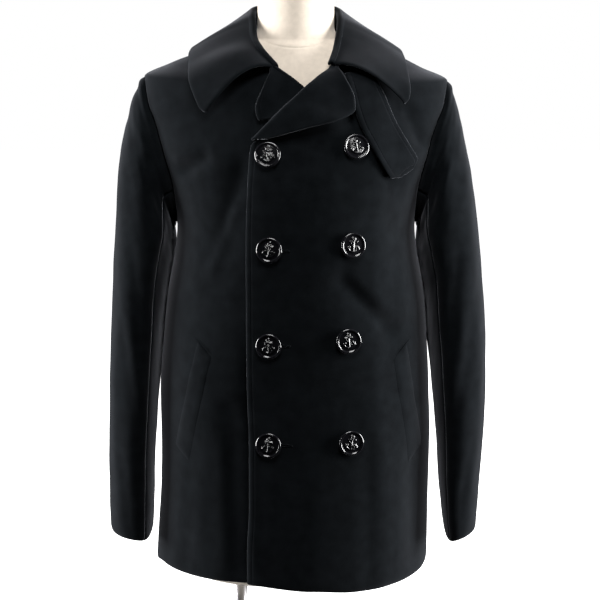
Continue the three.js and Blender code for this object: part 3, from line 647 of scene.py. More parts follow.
def sleeve_relief(side, ring, angle):
    """Creases by ring and angle, slow unevenness, and an easing at the armhole seam."""
    degrees = np.degrees(np.mod(angle + math.pi, 2 * math.pi) - math.pi)
    height = np.zeros(np.broadcast(ring, angle).shape)
    shift = 0.4 if side < 0 else 0.0
    for r1, a1, r2, a2, width, amount in SLEEVE_CREASES:
        dr, da = r2 - r1, (a2 - a1) / 14
        u = ring - r1 - shift
        v = (degrees - a1) / 14
        along = (u * dr + v * da) / (dr * dr + da * da)
        t = np.clip(along, 0, 1)
        away = np.hypot(u - dr * t, v - da * t) / width
        ends = smooth(along, -0.3, 0.25) * smooth(1 - along, -0.3, 0.25)
        height = height + amount * np.exp(-away * away) * ends
    wave = 0.4 * np.sin(ring * 1.9 + angle * 2 + side) * np.sin(angle * 3 - ring * 0.8)
    body = height + wave + 0.18 * np.sin(ring * 5.1 - angle * 4) * np.sin(angle * 7 + ring)
    return body * smooth(ring, 0.3, 1.6)


def sleeve_piece(name, node, rows, side, start, end, cols):
    """Part of the sleeve's tube, wall and all, from the armhole to the open cuff."""
    last = len(rows) - 1
    ring = (np.linspace(0, 1, 170) ** 1.15 * last)[:, None]
    turn = SEAM / 2 / 30
    angle = np.linspace(start + turn, end - turn, cols)[None, :]
    ring, angle = np.broadcast_arrays(ring, angle)
    centre = sleeve_point(rows, side, ring, angle + math.pi)
    base = sleeve_point(rows, side, ring, angle)
    step = 0.25
    up = sleeve_point(rows, side, np.clip(ring + step, 0, last), angle)
    down = sleeve_point(rows, side, np.clip(ring - step, 0, last), angle)
    round_on = sleeve_point(rows, side, ring, angle + 0.08) - sleeve_point(rows, side, ring, angle - 0.08)
    n = np.cross(up - down, round_on)
    n /= np.linalg.norm(n, axis=-1, keepdims=True)
    n = np.where((n * (centre - base)).sum(axis=-1, keepdims=True) > 0, -n, n)
    far, _ = edge_distance(base, ("start", "end"))
    top, _ = edge_distance(base, ("first",))
    ease = 2.6 * np.exp(-((top - 8) / 6.0) ** 2) - 1.0 * np.exp(-(top / 1.8) ** 2)
    relief = sleeve_relief(side, ring, angle) + seam_groove(far) * 0.35 + ease
    outer = base + n * relief[..., None]
    inner = base - n * CLOTH
    blend = np.clip(1 - ring / 0.5, 0, 1)[..., None]
    outer = outer * (1 - blend) + (armhole_point(side, angle, 0) + n * relief[..., None] * 0.3) * blend
    inner = inner * (1 - blend) + armhole_point(side, angle, CLOTH) * blend
    obj = cloth_wall(name, outer, inner, ("last",), ())
    declare(obj, node, outer)
    return obj


# Sheets with a wall to both sides: collar, lapels

def smooth_along(stations, count):
    """Centripetal curve through each column of stations, read at equal steps."""
    pts = np.concatenate([2 * stations[:1] - stations[1:2], stations, 2 * stations[-1:] - stations[-2:-1]])
    t = np.linspace(0, len(stations) - 1, count)
    i = np.minimum(t.astype(int), len(stations) - 2)
    f = (t - i).reshape((-1,) + (1,) * (stations.ndim - 1))
    a, b, c, d = pts[i], pts[i + 1], pts[i + 2], pts[i + 3]
    return 0.5 * (2 * b + (c - a) * f + (2 * a - 5 * b + 4 * c - d) * f ** 2 + (3 * b - a - 3 * c + d) * f ** 3)


def sheet_wall(name, grid, thickness, relief, free, stitched):
    """Wall to both sides of a sheet, its outer side shaped by relief."""
    up = np.gradient(grid, axis=0)
    along = np.gradient(grid, axis=1)
    n = np.cross(up, along)
    n /= np.maximum(np.linalg.norm(n, axis=-1, keepdims=True), 1e-9)
    face = grid + n * (thickness / 2 + relief)[..., None]
    under = grid - n * thickness / 2
    return cloth_wall(name, face, under, free, stitched, bulge=1.2), face


def seam_start(row):
    """Where the collar leaves the neck seam, in the middle of the cloth."""
    z, degrees, fold_x = row[0], row[1], row[2]
    if degrees > 0:
        angle = np.array(math.radians(degrees - 360 if degrees > 180 else degrees))
        return body_point(np.array(NECK_Z), angle, np.array(-CLOTH / 2), fine=0.0) + [0, 0, SEAM * 7]
    left = fold_x > 0
    edge = float(read(LEFT_EDGE if left else RIGHT_EDGE, "x", z))
    x = np.array(edge - math.copysign(SEAM * 9, edge))
    z = np.array(float(z))
    lift = left_lift(x, z) if left else np.array(0.0)
    return on_front(x, z, lift - CLOTH / 2, fine=0.0)


def collar_station(row):
    """Seam, stand, fold, then the leaf as a swelled line down to its edge."""
    _, degrees, fold_x, fold_y, fold_z, edge_x, edge_z, lift, swell, arch = row
    bend = float(front_angle(np.array(float(edge_z)), np.array(float(edge_x))))
    bend = math.pi - bend if 100 < degrees < 260 else bend
    z = np.array(float(edge_z))
    edge = body_point(z, np.array(bend), np.array(lift + COLLAR_CLOTH / 2), fine=0.0)
    out = body_normal(np.array(min(edge_z + 30.0, 955.0)), np.array(bend))
    fold = np.array([fold_x, fold_y, fold_z], float)
    away = edge - fold
    away[2] = 0
    away /= np.linalg.norm(away)
    start = seam_start(row)
    inside = fold - away * 3.6 + [0, 0, -3.4]
    outside = fold + away * 4.4 + [0, 0, -2.6]
    stand = [start + (inside - start) * t for t in (0, 0.33, 0.67, 1)]
    bridge = [fold - away * 2.2 + [0, 0, -0.9], fold, fold + away * 2.4 + [0, 0, -0.8], outside]
    rise = np.array([0, 0, arch])
    leaf = [
        outside + (edge - outside) * t + out * swell * 2 * t * (1 - t) + rise * 4.2 * t * (1 - t) ** 1.4
        for t in np.linspace(0.1, 1, 10)
    ]
    return np.array(stand + bridge + leaf)


def collar_grid():
    """Stations smoothed along the neck, then each profile smoothed across."""
    stations = np.array([collar_station(row) for row in COLLAR])
    along = smooth_along(stations, 200)
    return np.swapaxes(smooth_along(np.swapaxes(along, 0, 1), 84), 0, 1)


def round_corner(grid, reach):
    """Draws the far corners of a leaf in, so that its tips are rounded."""
    far_tip, _ = edge_distance(grid, ("end",))
    first, _ = edge_distance(grid, ("first",))
    last, _ = edge_distance(grid, ("last",))
    side = np.minimum(first, last)
    pull = np.clip(1 - far_tip / reach, 0, 1) * np.clip(1 - side / reach, 0, 1)
    inward = grid[:, :1] - grid
    inward /= np.maximum(np.linalg.norm(inward, axis=-1, keepdims=True), 1.0)
    return grid + inward * (pull ** 2 * reach * 0.42)[..., None]


def lapel_grid(rows, edge_table, toward, lift_at, stand):
    """A small roll round the front's edge, then the facing laid back to its own edge."""
    table = {name: [row[i] for row in rows] for i, name in enumerate(LAPEL_COLUMNS)}
    roll_z = np.linspace(rows[0][0], rows[-1][0], 90)
    value = {name: read(table, name, roll_z, "roll_z") for name in LAPEL_COLUMNS[1:]}
    panel_x = read(edge_table, "x", roll_z)
    roll_x = panel_x - toward * ROLL_SETBACK
    lift = lift_at(panel_x, roll_z)
    ex, ez = value["edge_x"], value["edge_z"]
    edge = on_front(ex, ez, lift_at(ex, ez) + stand + value["lift"], fine=0.0)

    def at(e, n):
        return on_front(roll_x + e * toward, roll_z, lift + n, fine=0.0)

    nose = [at(4.3, -1.5), at(2.9, -1.35), at(1.4, -0.9), at(0, 0.2), at(-0.6, 2.2), at(0, 4.2), at(1.6, 5.5),
            at(3.6, 6.0), at(6, stand)]
    leaf = [nose[-1] + (edge - nose[-1]) * t for t in np.linspace(0.08, 1, 12)]
    grid = np.stack(nose + leaf, axis=1)
    return np.swapaxes(smooth_along(np.swapaxes(grid, 0, 1), 60), 0, 1)


# Patches that lie on the fronts

def patch(name, x, z, lift, thickness, stitched):
    """Panel points moved out: the patch's back at lift, its face a thickness further."""
    face = on_front(x, z, lift + thickness)
    under = on_front(x, z, lift)
    return cloth_wall(name, face, under, ("start", "end", "first", "last"), stitched, bulge=1.0), face


def latch_places():
    """Offsets to both sides of the tongue's middle line, narrowed to a blunt end."""
    along = np.linspace(-1, 6, 100)
    x = read(LATCH, "x", along, "along")
    z = read(LATCH, "z", along, "along")
    dx, dz = np.gradient(x), np.gradient(z)
    size = np.hypot(dx, dz)
    half = LATCH_HALF_WIDTH * np.interp(along, LATCH["along"], LATCH["width"])
    v = np.linspace(-1, 1, 36)
    px = x[:, None] - (dz / size * half)[:, None] * v
    pz = z[:, None] + (dx / size * half)[:, None] * v
    return px, pz


# Shader building

class Value:
    """A socket with arithmetic: each operator adds a Math node."""

    def __init__(self, paint, socket):
        self.paint = paint
        self.socket = socket

    def _math(self, operation, *others):
        return self.paint.node("ShaderNodeMath", {"operation": operation}, {0: self, **dict(enumerate(others, 1))})

    def __add__(self, other):
        return self._math("ADD", other)

    __radd__ = __add__

    def __mul__(self, other):
        return self._math("MULTIPLY", other)

    __rmul__ = __mul__

    def __sub__(self, other):
        return self._math("SUBTRACT", other)

    def __rsub__(self, other):
        return self * -1 + other

    def __truediv__(self, other):
        return self._math("DIVIDE", other)

    def fraction(self):
        return self._math("FRACT")

    def size(self):
        return self._math("ABSOLUTE")

    def sine(self):
        return self._math("SINE")

    def below(self, edge):
        return self._math("LESS_THAN", edge)


class Paint:
    """One material and its nodes."""

    def __init__(self, name):
        self.material = bpy.data.materials.new(name)
        self.material.use_nodes = True
        self.tree = self.material.node_tree
        self.tree.nodes.clear()
        self.shader = self.tree.nodes.new("ShaderNodeBsdfPrincipled")
        output = self.tree.nodes.new("ShaderNodeOutputMaterial")
        self.tree.links.new(self.shader.outputs[0], output.inputs[0])

    def node(self, kind, settings=None, inputs=None, output=0):
        """A node of this type with its settings, then its sockets' values or links."""
        made = self.tree.nodes.new(kind)
        for key, value in (settings or {}).items():
            if key == "ramp":
                for stop, (place, colour) in zip(made.color_ramp.elements, value):
                    stop.position = place
                    stop.color = colour
            else:
                setattr(made, key, value)
        for key, value in (inputs or {}).items():
            self.feed(made.inputs[key], value)
        return Value(self, made.outputs[output])

    def feed(self, socket, value):
        """Links a Value or sets a constant."""
        if isinstance(value, Value):
            self.tree.links.new(value.socket, socket)
        else:
            socket.default_value = value

    def set(self, **sockets):
        """Constants or links of the main shader, by socket name with underscores."""
        for key, value in sockets.items():
            self.feed(self.shader.inputs[key.replace("_", " ")], value)
        return self


def melton(settings):
    """Thick felted wool: cloudy pile, short fibres, and a topstitched row set in from the edges."""
    paint = Paint("navy_melton_wool")
    place = paint.node("ShaderNodeTexCoord", output=3)
    cloud = paint.node("ShaderNodeTexNoise", {}, {"Vector": place, "Scale": 60.0, "Detail": 4.0})
    fibre = paint.node("ShaderNodeTexNoise", {}, {"Vector": place, "Scale": 900.0, "Detail": 3.0,
                                                  "Roughness": 0.7})
    stitch_map = paint.node("ShaderNodeUVMap", {"uv_map": "stitch"})
    split_u = paint.node("ShaderNodeSeparateXYZ", {}, {0: stitch_map})
    split_v = paint.node("ShaderNodeSeparateXYZ", {}, {0: stitch_map}, output=1)
    row = (split_u - settings.stitch_inset).size()
    groove = (row * (1 / 0.0016)).below(1.0) * (1 - row * (1 / 0.0016))
    dash = (split_v * (1 / settings.stitch_length)).fraction().below(0.72)
    thread = row.below(0.00035) * dash
    dark = tuple(c * 0.62 for c in settings.wool[:3]) + (1.0,)
    light = tuple(min(1.0, c * 1.5) for c in settings.wool[:3]) + (1.0,)
    colour = paint.node("ShaderNodeValToRGB", {"ramp": [(0.32, dark), (0.72, light)]},
                        {"Fac": cloud * 0.55 + fibre * 0.45})
    sewn = paint.node("ShaderNodeMix", {"data_type": "RGBA"},
                      {0: thread * 0.5, 6: colour, 7: (0.0045, 0.0045, 0.006, 1.0)}, output=2)
    height = fibre * 0.35 + cloud * 0.3 - groove * 1.1 + thread * 0.6
    bump = paint.node("ShaderNodeBump", {}, {"Strength": 0.55, "Distance": 0.0006, "Height": height})
    paint.set(Base_Color=sewn, Roughness=0.92, Normal=bump)
    paint.set(Sheen_Weight=0.13, Sheen_Roughness=0.4, Sheen_Tint=(0.84, 0.86, 0.95, 1.0))
    paint.set(Specular_IOR_Level=0.0)
    return paint.material


def pocket_shadow(settings):
    """Painted shade: near-black cloth that stands in for the shadow between the lips of a pocket."""
    paint = Paint("pocket_painted_shade")
    place = paint.node("ShaderNodeTexCoord", output=3)
    twill = paint.node("ShaderNodeTexNoise", {}, {"Vector": place, "Scale": 1200.0, "Detail": 2.0})
    bump = paint.node("ShaderNodeBump", {}, {"Strength": 0.3, "Distance": 0.0003, "Height": twill})
    # Painted shade: near-black colour in place of the shadow inside the pocket's slit.
    paint.set(Base_Color=(0.0006, 0.0006, 0.0008, 1.0), Roughness=1.0, Normal=bump)
    paint.set(Specular_IOR_Level=0.0)
    return paint.material


def button_black(settings):
    """Glossy black with a faint uneven polish."""
    paint = Paint("black_button_gloss")
    place = paint.node("ShaderNodeTexCoord", output=3)
    wear = paint.node("ShaderNodeTexNoise", {}, {"Vector": place, "Scale": 300.0, "Detail": 2.0})
    paint.set(Base_Color=tuple(settings.button), Roughness=wear * 0.12 + 0.1, Coat_Weight=0.3)
    paint.set(Coat_Roughness=0.1, Specular_IOR_Level=0.5)
    return paint.material


def linen(settings):
    """Plain-woven cream cloth: two sets of threads crossing."""
    paint = Paint("cream_linen_cover")
    place = paint.node("ShaderNodeTexCoord", output=3)
    x = paint.node("ShaderNodeSeparateXYZ", {}, {0: place})
    z = paint.node("ShaderNodeSeparateXYZ", {}, {0: place}, output=2)
    slub = paint.node("ShaderNodeTexNoise", {}, {"Vector": place, "Scale": 140.0, "Detail": 3.0})
    weave = (x * 6283).sine() * (z * 6283).sine()
    tone = paint.node("ShaderNodeValToRGB", {
        "ramp": [(0.3, tuple(c * 0.9 for c in settings.linen[:3]) + (1.0,)), (0.7, tuple(settings.linen))],
    }, {"Fac": slub})
    bump = paint.node("ShaderNodeBump", {}, {"Strength": 0.35, "Distance": 0.0004,
                                            "Height": weave * 0.4 + slub * 0.8})
    paint.set(Base_Color=tone, Roughness=0.88, Normal=bump, Sheen_Weight=0.15)
    return paint.material


def bright_steel(settings):
    """Polished steel with fine wiping marks."""
    paint = Paint("polished_steel")
    place = paint.node("ShaderNodeTexCoord", output=3)
    marks = paint.node("ShaderNodeTexNoise", {}, {"Vector": place, "Scale": 90.0, "Detail": 3.0})
    paint.set(Base_Color=tuple(settings.steel), Metallic=1.0, Roughness=marks * 0.16 + 0.26)
    return paint.material


def stage_white(settings):
    """Pale paper, bright enough to stay white."""
    paint = Paint("stage_paper")
    paint.set(Base_Color=(0.6, 0.6, 0.6, 1.0), Roughness=0.9, Specular_IOR_Level=0.0)
    paint.set(Emission_Color=(1.0, 1.0, 1.0, 1.0), Emission_Strength=1.05)
    return paint.material


def give(obj, make):
    """The finish, made once and shared by the pieces that wear it."""
    settings = bpy.context.scene.coat_colours
    found = bpy.data.materials.get(make.__name__ + "_finish")
    if found is None:
        found = make(settings)
        found.name = make.__name__ + "_finish"
    obj.data.materials.clear()
    obj.data.materials.append(found)


# Settings

class CoatColours(bpy.types.PropertyGroup):
    """Colours and stitching that a user would change."""

    wool: bpy.props.FloatVectorProperty(
        name="Wool", description="Colour of the felted wool", subtype="COLOR", size=4,
        min=0, max=1, default=(0.0030, 0.0037, 0.0043, 1.0))
    button: bpy.props.FloatVectorProperty(
        name="Buttons", description="Colour of the buttons", subtype="COLOR", size=4,
        min=0, max=1, default=(0.004, 0.004, 0.005, 1.0))
    linen: bpy.props.FloatVectorProperty(
        name="Linen", description="Colour of the form's cover", subtype="COLOR", size=4,
        min=0, max=1, default=(0.56, 0.49, 0.41, 1.0))
    steel: bpy.props.FloatVectorProperty(
        name="Steel", description="Colour of the pole and base", subtype="COLOR", size=4,
        min=0, max=1, default=(0.55, 0.55, 0.56, 1.0))
    stitch_inset: bpy.props.FloatProperty(
        name="Stitch inset", description="Distance of the topstitching from the edge",
        default=0.0068, unit="LENGTH")
    stitch_length: bpy.props.FloatProperty(
        name="Stitch length", description="Length of one stitch and its gap",
        default=0.0034, unit="LENGTH")


class StageSettings(bpy.types.PropertyGroup):
    """Camera and lights."""

    camera_distance: bpy.props.FloatProperty(
        name="Camera distance", description="From the coat's middle to the camera", default=2.4, unit="LENGTH")
    camera_height: bpy.props.FloatProperty(
        name="Camera height", description="Height of the camera", default=1.018, unit="LENGTH")
    camera_pitch: bpy.props.FloatProperty(
        name="Camera pitch", description="How far the camera looks down",
        default=math.radians(10), subtype="ANGLE")
    camera_lens: bpy.props.FloatProperty(
        name="Lens", description="Focal length in millimetres", default=104.46)
    side_light: bpy.props.FloatProperty(
        name="Side lights", description="Power of the two side lights in watts", default=225.0)
    top_light: bpy.props.FloatProperty(
        name="Top light", description="Power of the light above the front in watts", default=66.0)
    back_light: bpy.props.FloatProperty(
        name="Back light", description="Power of the light behind the coat in watts", default=60.0)


# Operators, one for each piece or group of like pieces

class MakeFronts(bpy.types.Operator):
    """The two fronts, the left one lying over the right"""

    bl_idname = "pea_coat.fronts"
    bl_label = "Fronts"

    def execute(self, context):
        left = body_panel(
            "left_front_cloth", "front_left",
            lambda z: front_angle(z, read(LEFT_EDGE, "x", z)),
            lambda z: side_angle(z, True) - side_gap(z),
            lambda x, z, angle: left_lift(x, z), 100,
            ("start", "first"), ("start",), ("end",))
        right = body_panel(
            "right_front_cloth", "front_right",
            lambda z: front_angle(z, read(RIGHT_EDGE, "x", z)),
            lambda z: -side_angle(z, True) + side_gap(z),
            lambda x, z, angle: right_lift(x, z), 100,
            ("start", "first"), ("start",), ("end",), gather=1.0)
        give(left, melton)
        give(right, melton)
        return {"FINISHED"}


class MakeBacks(bpy.types.Operator):
    """The two back halves, with their centre seam and the vent at the hem"""

    bl_idname = "pea_coat.backs"
    bl_label = "Backs"

    def execute(self, context):
        def vent_turn(z):
            return (1 - smooth(z, VENT_TOP_Z - 30, VENT_TOP_Z)) * VENT_WIDTH / read(BODY, "half", z)

        left = body_panel(
            "left_back_cloth", "back_left",
            lambda z: math.pi + vent_turn(z) - centre_gap(z),
            lambda z: side_angle(z, False) + side_gap(z),
            lambda x, z, angle: no_lift(x, z), 84,
            ("first",), (), ("start", "end"), gather=1.0)
        right = body_panel(
            "right_back_cloth", "back_right",
            lambda z: -math.pi + centre_gap(z),
            lambda z: -side_angle(z, False) - side_gap(z),
            lambda x, z, angle: vent_lift(z, angle), 84,
            ("first",), ("start",), ("start", "end"), gather=1.0)
        give(left, melton)
        give(right, melton)
        return {"FINISHED"}


class MakeSleeves(bpy.types.Operator):
    """Both two-piece sleeves"""

    bl_idname = "pea_coat.sleeves"
    bl_label = "Sleeves"

    def execute(self, context):
        for word, side, rows in (("left", 1, LEFT_SLEEVE), ("right", -1, RIGHT_SLEEVE)):
            front, back = math.radians(120), math.radians(240)
            top = sleeve_piece(f"{word}_top_sleeve_cloth", f"top_sleeve_{word}", rows, side,
                               back - 2 * math.pi, front, 92)
            under = sleeve_piece(f"{word}_under_sleeve_cloth", f"under_sleeve_{word}", rows, side,
                                 front, back, 44)
            give(top, melton)
            give(under, melton)
        return {"FINISHED"}


class MakeCollar(bpy.types.Operator):
    """The collar and both lapels"""

    bl_idname = "pea_coat.collar"
    bl_label = "Collar and lapels"

    def execute(self, context):
        grid = round_corner(collar_grid(), 16)
        u = np.linspace(0, 1, grid.shape[0])[:, None]
        v = np.linspace(0, 1, grid.shape[1])[None, :]
        relief = 0.5 * np.sin(u * 23 + v * 4) * np.sin(v * 7 + 1) * smooth(v, 0.3, 0.6)
        obj, face = sheet_wall("collar_cloth", grid, COLLAR_CLOTH, relief,
                               ("first", "last", "end"), ("first", "last", "end"))
        declare(obj, "collar", face)
        give(obj, melton)
        for word, rows, edge, toward, lift_at, stand in (
            ("left", LEFT_LAPEL, LEFT_EDGE, 1, left_lift, 6.2),
            ("right", RIGHT_LAPEL, RIGHT_EDGE, -1, no_lift, 5.2),
        ):
            grid = lapel_grid(rows, edge, toward, lift_at, stand)
            relief = np.zeros(grid.shape[:2])
            obj, face = sheet_wall(f"{word}_lapel_cloth", grid, CLOTH, relief, ("end", "last"), ("end", "last"))
            declare(obj, f"lapel_{word}", face)
            give(obj, melton)
        return {"FINISHED"}


class MakeLatch(bpy.types.Operator):
    """The throat latch, a tongue under the left collar leaf"""

    bl_idname = "pea_coat.latch"
    bl_label = "Throat latch"

    def execute(self, context):
        x, z = latch_places()
        lift = left_lift(x, z) + 1.9 + 2.2 * smooth(900 - z, 40, 115)
        obj, face = patch("throat_latch_cloth", x, z, lift, 3.4, ("start", "end", "last"))
        declare(obj, "throat_latch", face)
        give(obj, melton)
        return {"FINISHED"}


class MakeWelts(bpy.types.Operator):
    """The two slanted pocket welts"""

    bl_idname = "pea_coat.welts"
    bl_label = "Pocket welts"

    def execute(self, context):
        for node, side, x0, z0, slope in WELTS:
            lift_at = left_lift if side > 0 else right_lift
            down = np.linspace(0, WELT_LENGTH, 80)[:, None]
            v = np.linspace(0, 1, 22)[None, :]
            x = x0 + side * slope * down - side * v * WELT_WIDTH * 0.72
            z = z0 - down - v * WELT_WIDTH * 0.72
            rim = np.minimum(np.minimum(v, 1 - v) * WELT_WIDTH, np.minimum(down, WELT_LENGTH - down))
            lift = lift_at(x, z) - 0.25 - 0.9 * np.exp(-(rim / 5.0) ** 2)
            obj, face = patch(f"{node}_cloth", x, z, lift, 1.3, ())
            declare(obj, node, face)
            give(obj, melton)
            self.mouth_shade(node, side, x0, z0, lift_at)
        return {"FINISHED"}

    def mouth_shade(self, node, side, x0, z0, lift_at):
        """Painted shade of the pocket's slit: a thin near-black lens along the welt's top end, thickest halfway."""
        t = np.linspace(0, 1, 40)[:, None]
        v = np.linspace(-1, 1, 7)[None, :]
        half = 1.5 * np.sqrt(np.clip(1 - (2 * t - 1) ** 4, 0.02, 1))
        reach = MOUTH_LENGTH * 0.707
        x = x0 + side * (2.0 - t * reach + v * half * 0.707)
        z = z0 + 2.0 - t * reach + v * half * 0.707
        # A near-black sheet laid where the slit's shadow falls: painted shade.
        obj, _ = patch(f"{node}_mouth", x, z, lift_at(x, z) + 0.8, 1.0, ())
        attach(obj, "root")
        give(obj, pocket_shadow)


def capsule(x, y, x1, y1, x2, y2, radius):
    """1 on the line between two points, falling to 0 at radius."""
    dx, dy = x2 - x1, y2 - y1
    t = np.clip(((x - x1) * dx + (y - y1) * dy) / (dx * dx + dy * dy), 0, 1)
    return np.clip(1 - np.hypot(x - x1 - dx * t, y - y1 - dy * t) / radius, 0, 1)


def anchor_relief(x, y):
    """A plain anchor and its rope: soft ridges along lines and arcs, the highest kept."""
    shank = capsule(x, y, 0, -8.2, 0, 6.6, 1.3)
    stock = capsule(x, y, -4.8, 5.0, 4.8, 5.0, 1.2)
    ring = np.clip(1 - np.abs(np.hypot(x, y - 8.6) - 1.9) / 0.9, 0, 1)
    arm = np.hypot(x, y + 1.2)
    arms = np.clip(1 - np.abs(arm - 7.4) / 1.3, 0, 1) * smooth(-y, 1.2, 2.4)
    left = capsule(x, y, -7.6, -4.6, -5.2, -1.6, 1.5)
    right = capsule(x, y, 7.6, -4.6, 5.2, -1.6, 1.5)
    rope_x = 3.6 * np.sin((y + 8) * 0.42)
    rope = np.clip(1 - np.abs(x - rope_x) / 0.95, 0, 1) * smooth(y, -8.5, -7) * smooth(-y, -8, -6.5)
    rope = rope * (0.75 + 0.25 * np.sin((x + y) * 4.2))
    best = np.maximum.reduce([shank, stock, ring, arms, left, right, rope * 0.8])
    return np.sqrt(best) * 1.25


def button_mesh(name):
    """A dished disc with a rope-like rim and the relief inside it, on a polar grid."""
    turns, steps = 120, 46
    angle = np.linspace(0, 2 * math.pi, turns, endpoint=False)[:, None]
    r = np.concatenate([np.linspace(0.25, 13.2, 32), [13.8, 14.4, 15.0, 15.6, 16.2, 16.7, 17.0, 17.0, 16.6,
                                                     15.4, 14, 10, 5, 0.25]])[None, :]
    face = np.array([1.0] * 39 + [0.0] * 7)[None, :]
    x, y = r * np.cos(angle), r * np.sin(angle)
    dome = 3.2 + 0.9 * (1 - (r / 13.5) ** 2)
    hatch = 0.10 * np.sin(y * 5.2) * (r < 12.6)
    inside = dome + anchor_relief(x, y) * smooth(-r, -12.9, -11.8) + hatch
    knurl = 0.16 * np.sin(angle * 44 + r * 1.4)
    rim = 3.0 + 1.9 * np.sqrt(np.clip(1 - ((r - 15.2) / 1.9) ** 2, 0, 1)) + knurl * np.exp(-((r - 15.2) / 1.1) ** 2)
    top = np.where(r < 13.3, inside, rim)
    low = np.array([0.0] * 39 + [2.2, 1.2, 0.2, 0, 0, 0, 0])[None, :]
    z = np.where(face > 0, top, low) * np.ones_like(x)
    pts = np.stack([x, y, z], axis=-1).reshape(-1, 3)
    count = r.shape[1]
    ids = np.arange(turns * count).reshape(turns, count)
    nxt = np.roll(ids, -1, axis=0)
    faces = np.stack([ids[:, :-1], ids[:, 1:], nxt[:, 1:], nxt[:, :-1]], axis=-1).reshape(-1, 4)
    return pts, faces, ids


def place_on_front(points, x, z, lift):
    """Turns a flat piece so that its Z is the cloth's normal and its Y points up, and seats it."""
    at = on_front(np.array(float(x)), np.array(float(z)), left_lift(np.array(float(x)), np.array(float(z))) + lift,
                  fine=0.0)
    n = body_normal(np.array(float(z)), front_angle(np.array(float(z)), np.array(float(x))))
    side = np.cross([0, 0, 1], n)
    side = side / np.linalg.norm(side)
    up = np.cross(n, side)
    return at + points[:, :1] * side + points[:, 1:2] * up + points[:, 2:] * n


class MakeButtons(bpy.types.Operator):
    """Eight glossy buttons and the buttonholes beside the working ones"""

    bl_idname = "pea_coat.buttons"
    bl_label = "Buttons"

    def execute(self, context):
        pts, faces, ids = button_mesh("button")
        centre_top = len(pts)
        caps = np.concatenate([pts, [[0, 0, pts[ids[0, 0], 2]], [0, 0, 0]]])
        nxt = np.roll(ids, -1, axis=0)
        tip = np.stack([ids[:, 0], nxt[:, 0], np.full(len(ids), centre_top)], axis=-1)
        low = np.stack([nxt[:, -1], ids[:, -1], np.full(len(ids), centre_top + 1)], axis=-1)
        turn = [4, -7, 3, -5, 9, -3, 6, -8]
        for i, (x, z) in enumerate(BUTTONS):
            a = math.radians(turn[i])
            spun = caps.copy()
            spun[:, 0] = caps[:, 0] * math.cos(a) - caps[:, 1] * math.sin(a)
            spun[:, 1] = caps[:, 0] * math.sin(a) + caps[:, 1] * math.cos(a)
            placed = place_on_front(spun, x, z, 0.7)
            mesh = bpy.data.meshes.new(f"anchor_button_{i + 1}")
            all_faces = faces.tolist() + tip.tolist() + low.tolist()
            mesh.from_pydata((placed * METRES).tolist(), [], all_faces)
            mesh.shade_smooth()
            obj = link(mesh, f"anchor_button_{i + 1}")
            fix_faces(obj)
            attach(obj, "root")
            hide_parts(f"button_{i + 1}")
            give(obj, button_black)
        for i, (x, z) in enumerate(BUTTONHOLES):
            self.buttonhole(i, x, z)
        return {"FINISHED"}

    def buttonhole(self, i, x, z):
        """A bead of close stitches round a narrow slit: a ring swept along a long oval."""
        t = np.linspace(0, 2 * math.pi, 160, endpoint=False)[:, None]
        s = np.linspace(0, 2 * math.pi, 10, endpoint=False)[None, :]
        eye = 1 + 0.55 * np.exp(-((t - 0.0) / 0.35) ** 2) + 0.55 * np.exp(-((t - 2 * math.pi) / 0.35) ** 2)
        ox, oy = 14 * np.cos(t), 1.25 * np.sin(t) * eye
        twill = 1 + 0.12 * np.sin(t * 60)
        bead = 0.75 * twill
        px = ox + bead * np.cos(s) * np.cos(t)
        py = oy + bead * np.cos(s) * np.sign(np.sin(t) + 1e-9)
        pz = 0.35 + bead * 0.6 * np.sin(s) + 0 * t
        pts = np.stack([px, py, pz], axis=-1).reshape(-1, 3)
        ids = np.arange(1600).reshape(160, 10)
        up, on = np.roll(ids, -1, axis=0), np.roll(ids, -1, axis=1)
        both = np.roll(up, -1, axis=1)
        faces = np.stack([ids, on, both, up], axis=-1).reshape(-1, 4)
        placed = place_on_front(pts, x, z, 0.0)
        obj = link(fill_mesh(f"buttonhole_{i + 1}", placed, faces, np.full((1600, 2), 500.0)), f"buttonhole_{i + 1}")
        fix_faces(obj)
        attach(obj, "root")
        give(obj, melton)


def fix_faces(obj):
    """Faces pointed outwards all round a closed piece."""
    work = bmesh.new()
    work.from_mesh(obj.data)
    bmesh.ops.recalc_face_normals(work, faces=work.faces)
    work.to_mesh(obj.data)
    work.free()


class MakeForm(bpy.types.Operator):
    """The limbless dress form in its linen cover"""

    bl_idname = "pea_coat.form"
    bl_label = "Dress form"

    def execute(self, context):
        heights = np.concatenate([
            np.linspace(208, 214, 4), np.linspace(218, 900, 70), np.linspace(904, 935, 16),
            np.linspace(936, 962, 40), np.linspace(964, 1041, 34),
        ])[:, None]
        turns = 150
        angle = np.linspace(0, 2 * math.pi, turns, endpoint=False)[None, :]
        p = ring_point(FORM, heights, angle)
        seam_z = 946 + 9 * (np.abs(p[..., 0]) / 45) ** 2 + 3 * (p[..., 1] > 0)
        dip = 0.9 * np.exp(-((p[..., 2] - seam_z) / 1.1) ** 2)
        out = p.copy()
        out[..., 2] = 0
        out /= np.maximum(np.linalg.norm(out, axis=-1, keepdims=True), 1e-6)
        p = p - out * dip[..., None]
        rows = len(heights)
        pts = np.concatenate([p.reshape(-1, 3), [[0, 0, 208.0], [0, 0, 1042.0]]])
        ids = np.arange(rows * turns).reshape(rows, turns)
        on = np.roll(ids, -1, axis=1)
        quads = np.stack([ids[:-1], on[:-1], on[1:], ids[1:]], axis=-1).reshape(-1, 4).tolist()
        low = np.stack([on[0], ids[0], np.full(turns, rows * turns)], axis=-1).tolist()
        top = np.stack([ids[-1], on[-1], np.full(turns, rows * turns + 1)], axis=-1).tolist()
        mesh = bpy.data.meshes.new("linen_form")
        mesh.from_pydata((pts * METRES).tolist(), [], quads + low + top)
        mesh.shade_smooth()
        obj = link(mesh, "linen_form")
        fix_faces(obj)
        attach(obj, "root")
        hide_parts("dress_form")
        give(obj, linen)
        return {"FINISHED"}


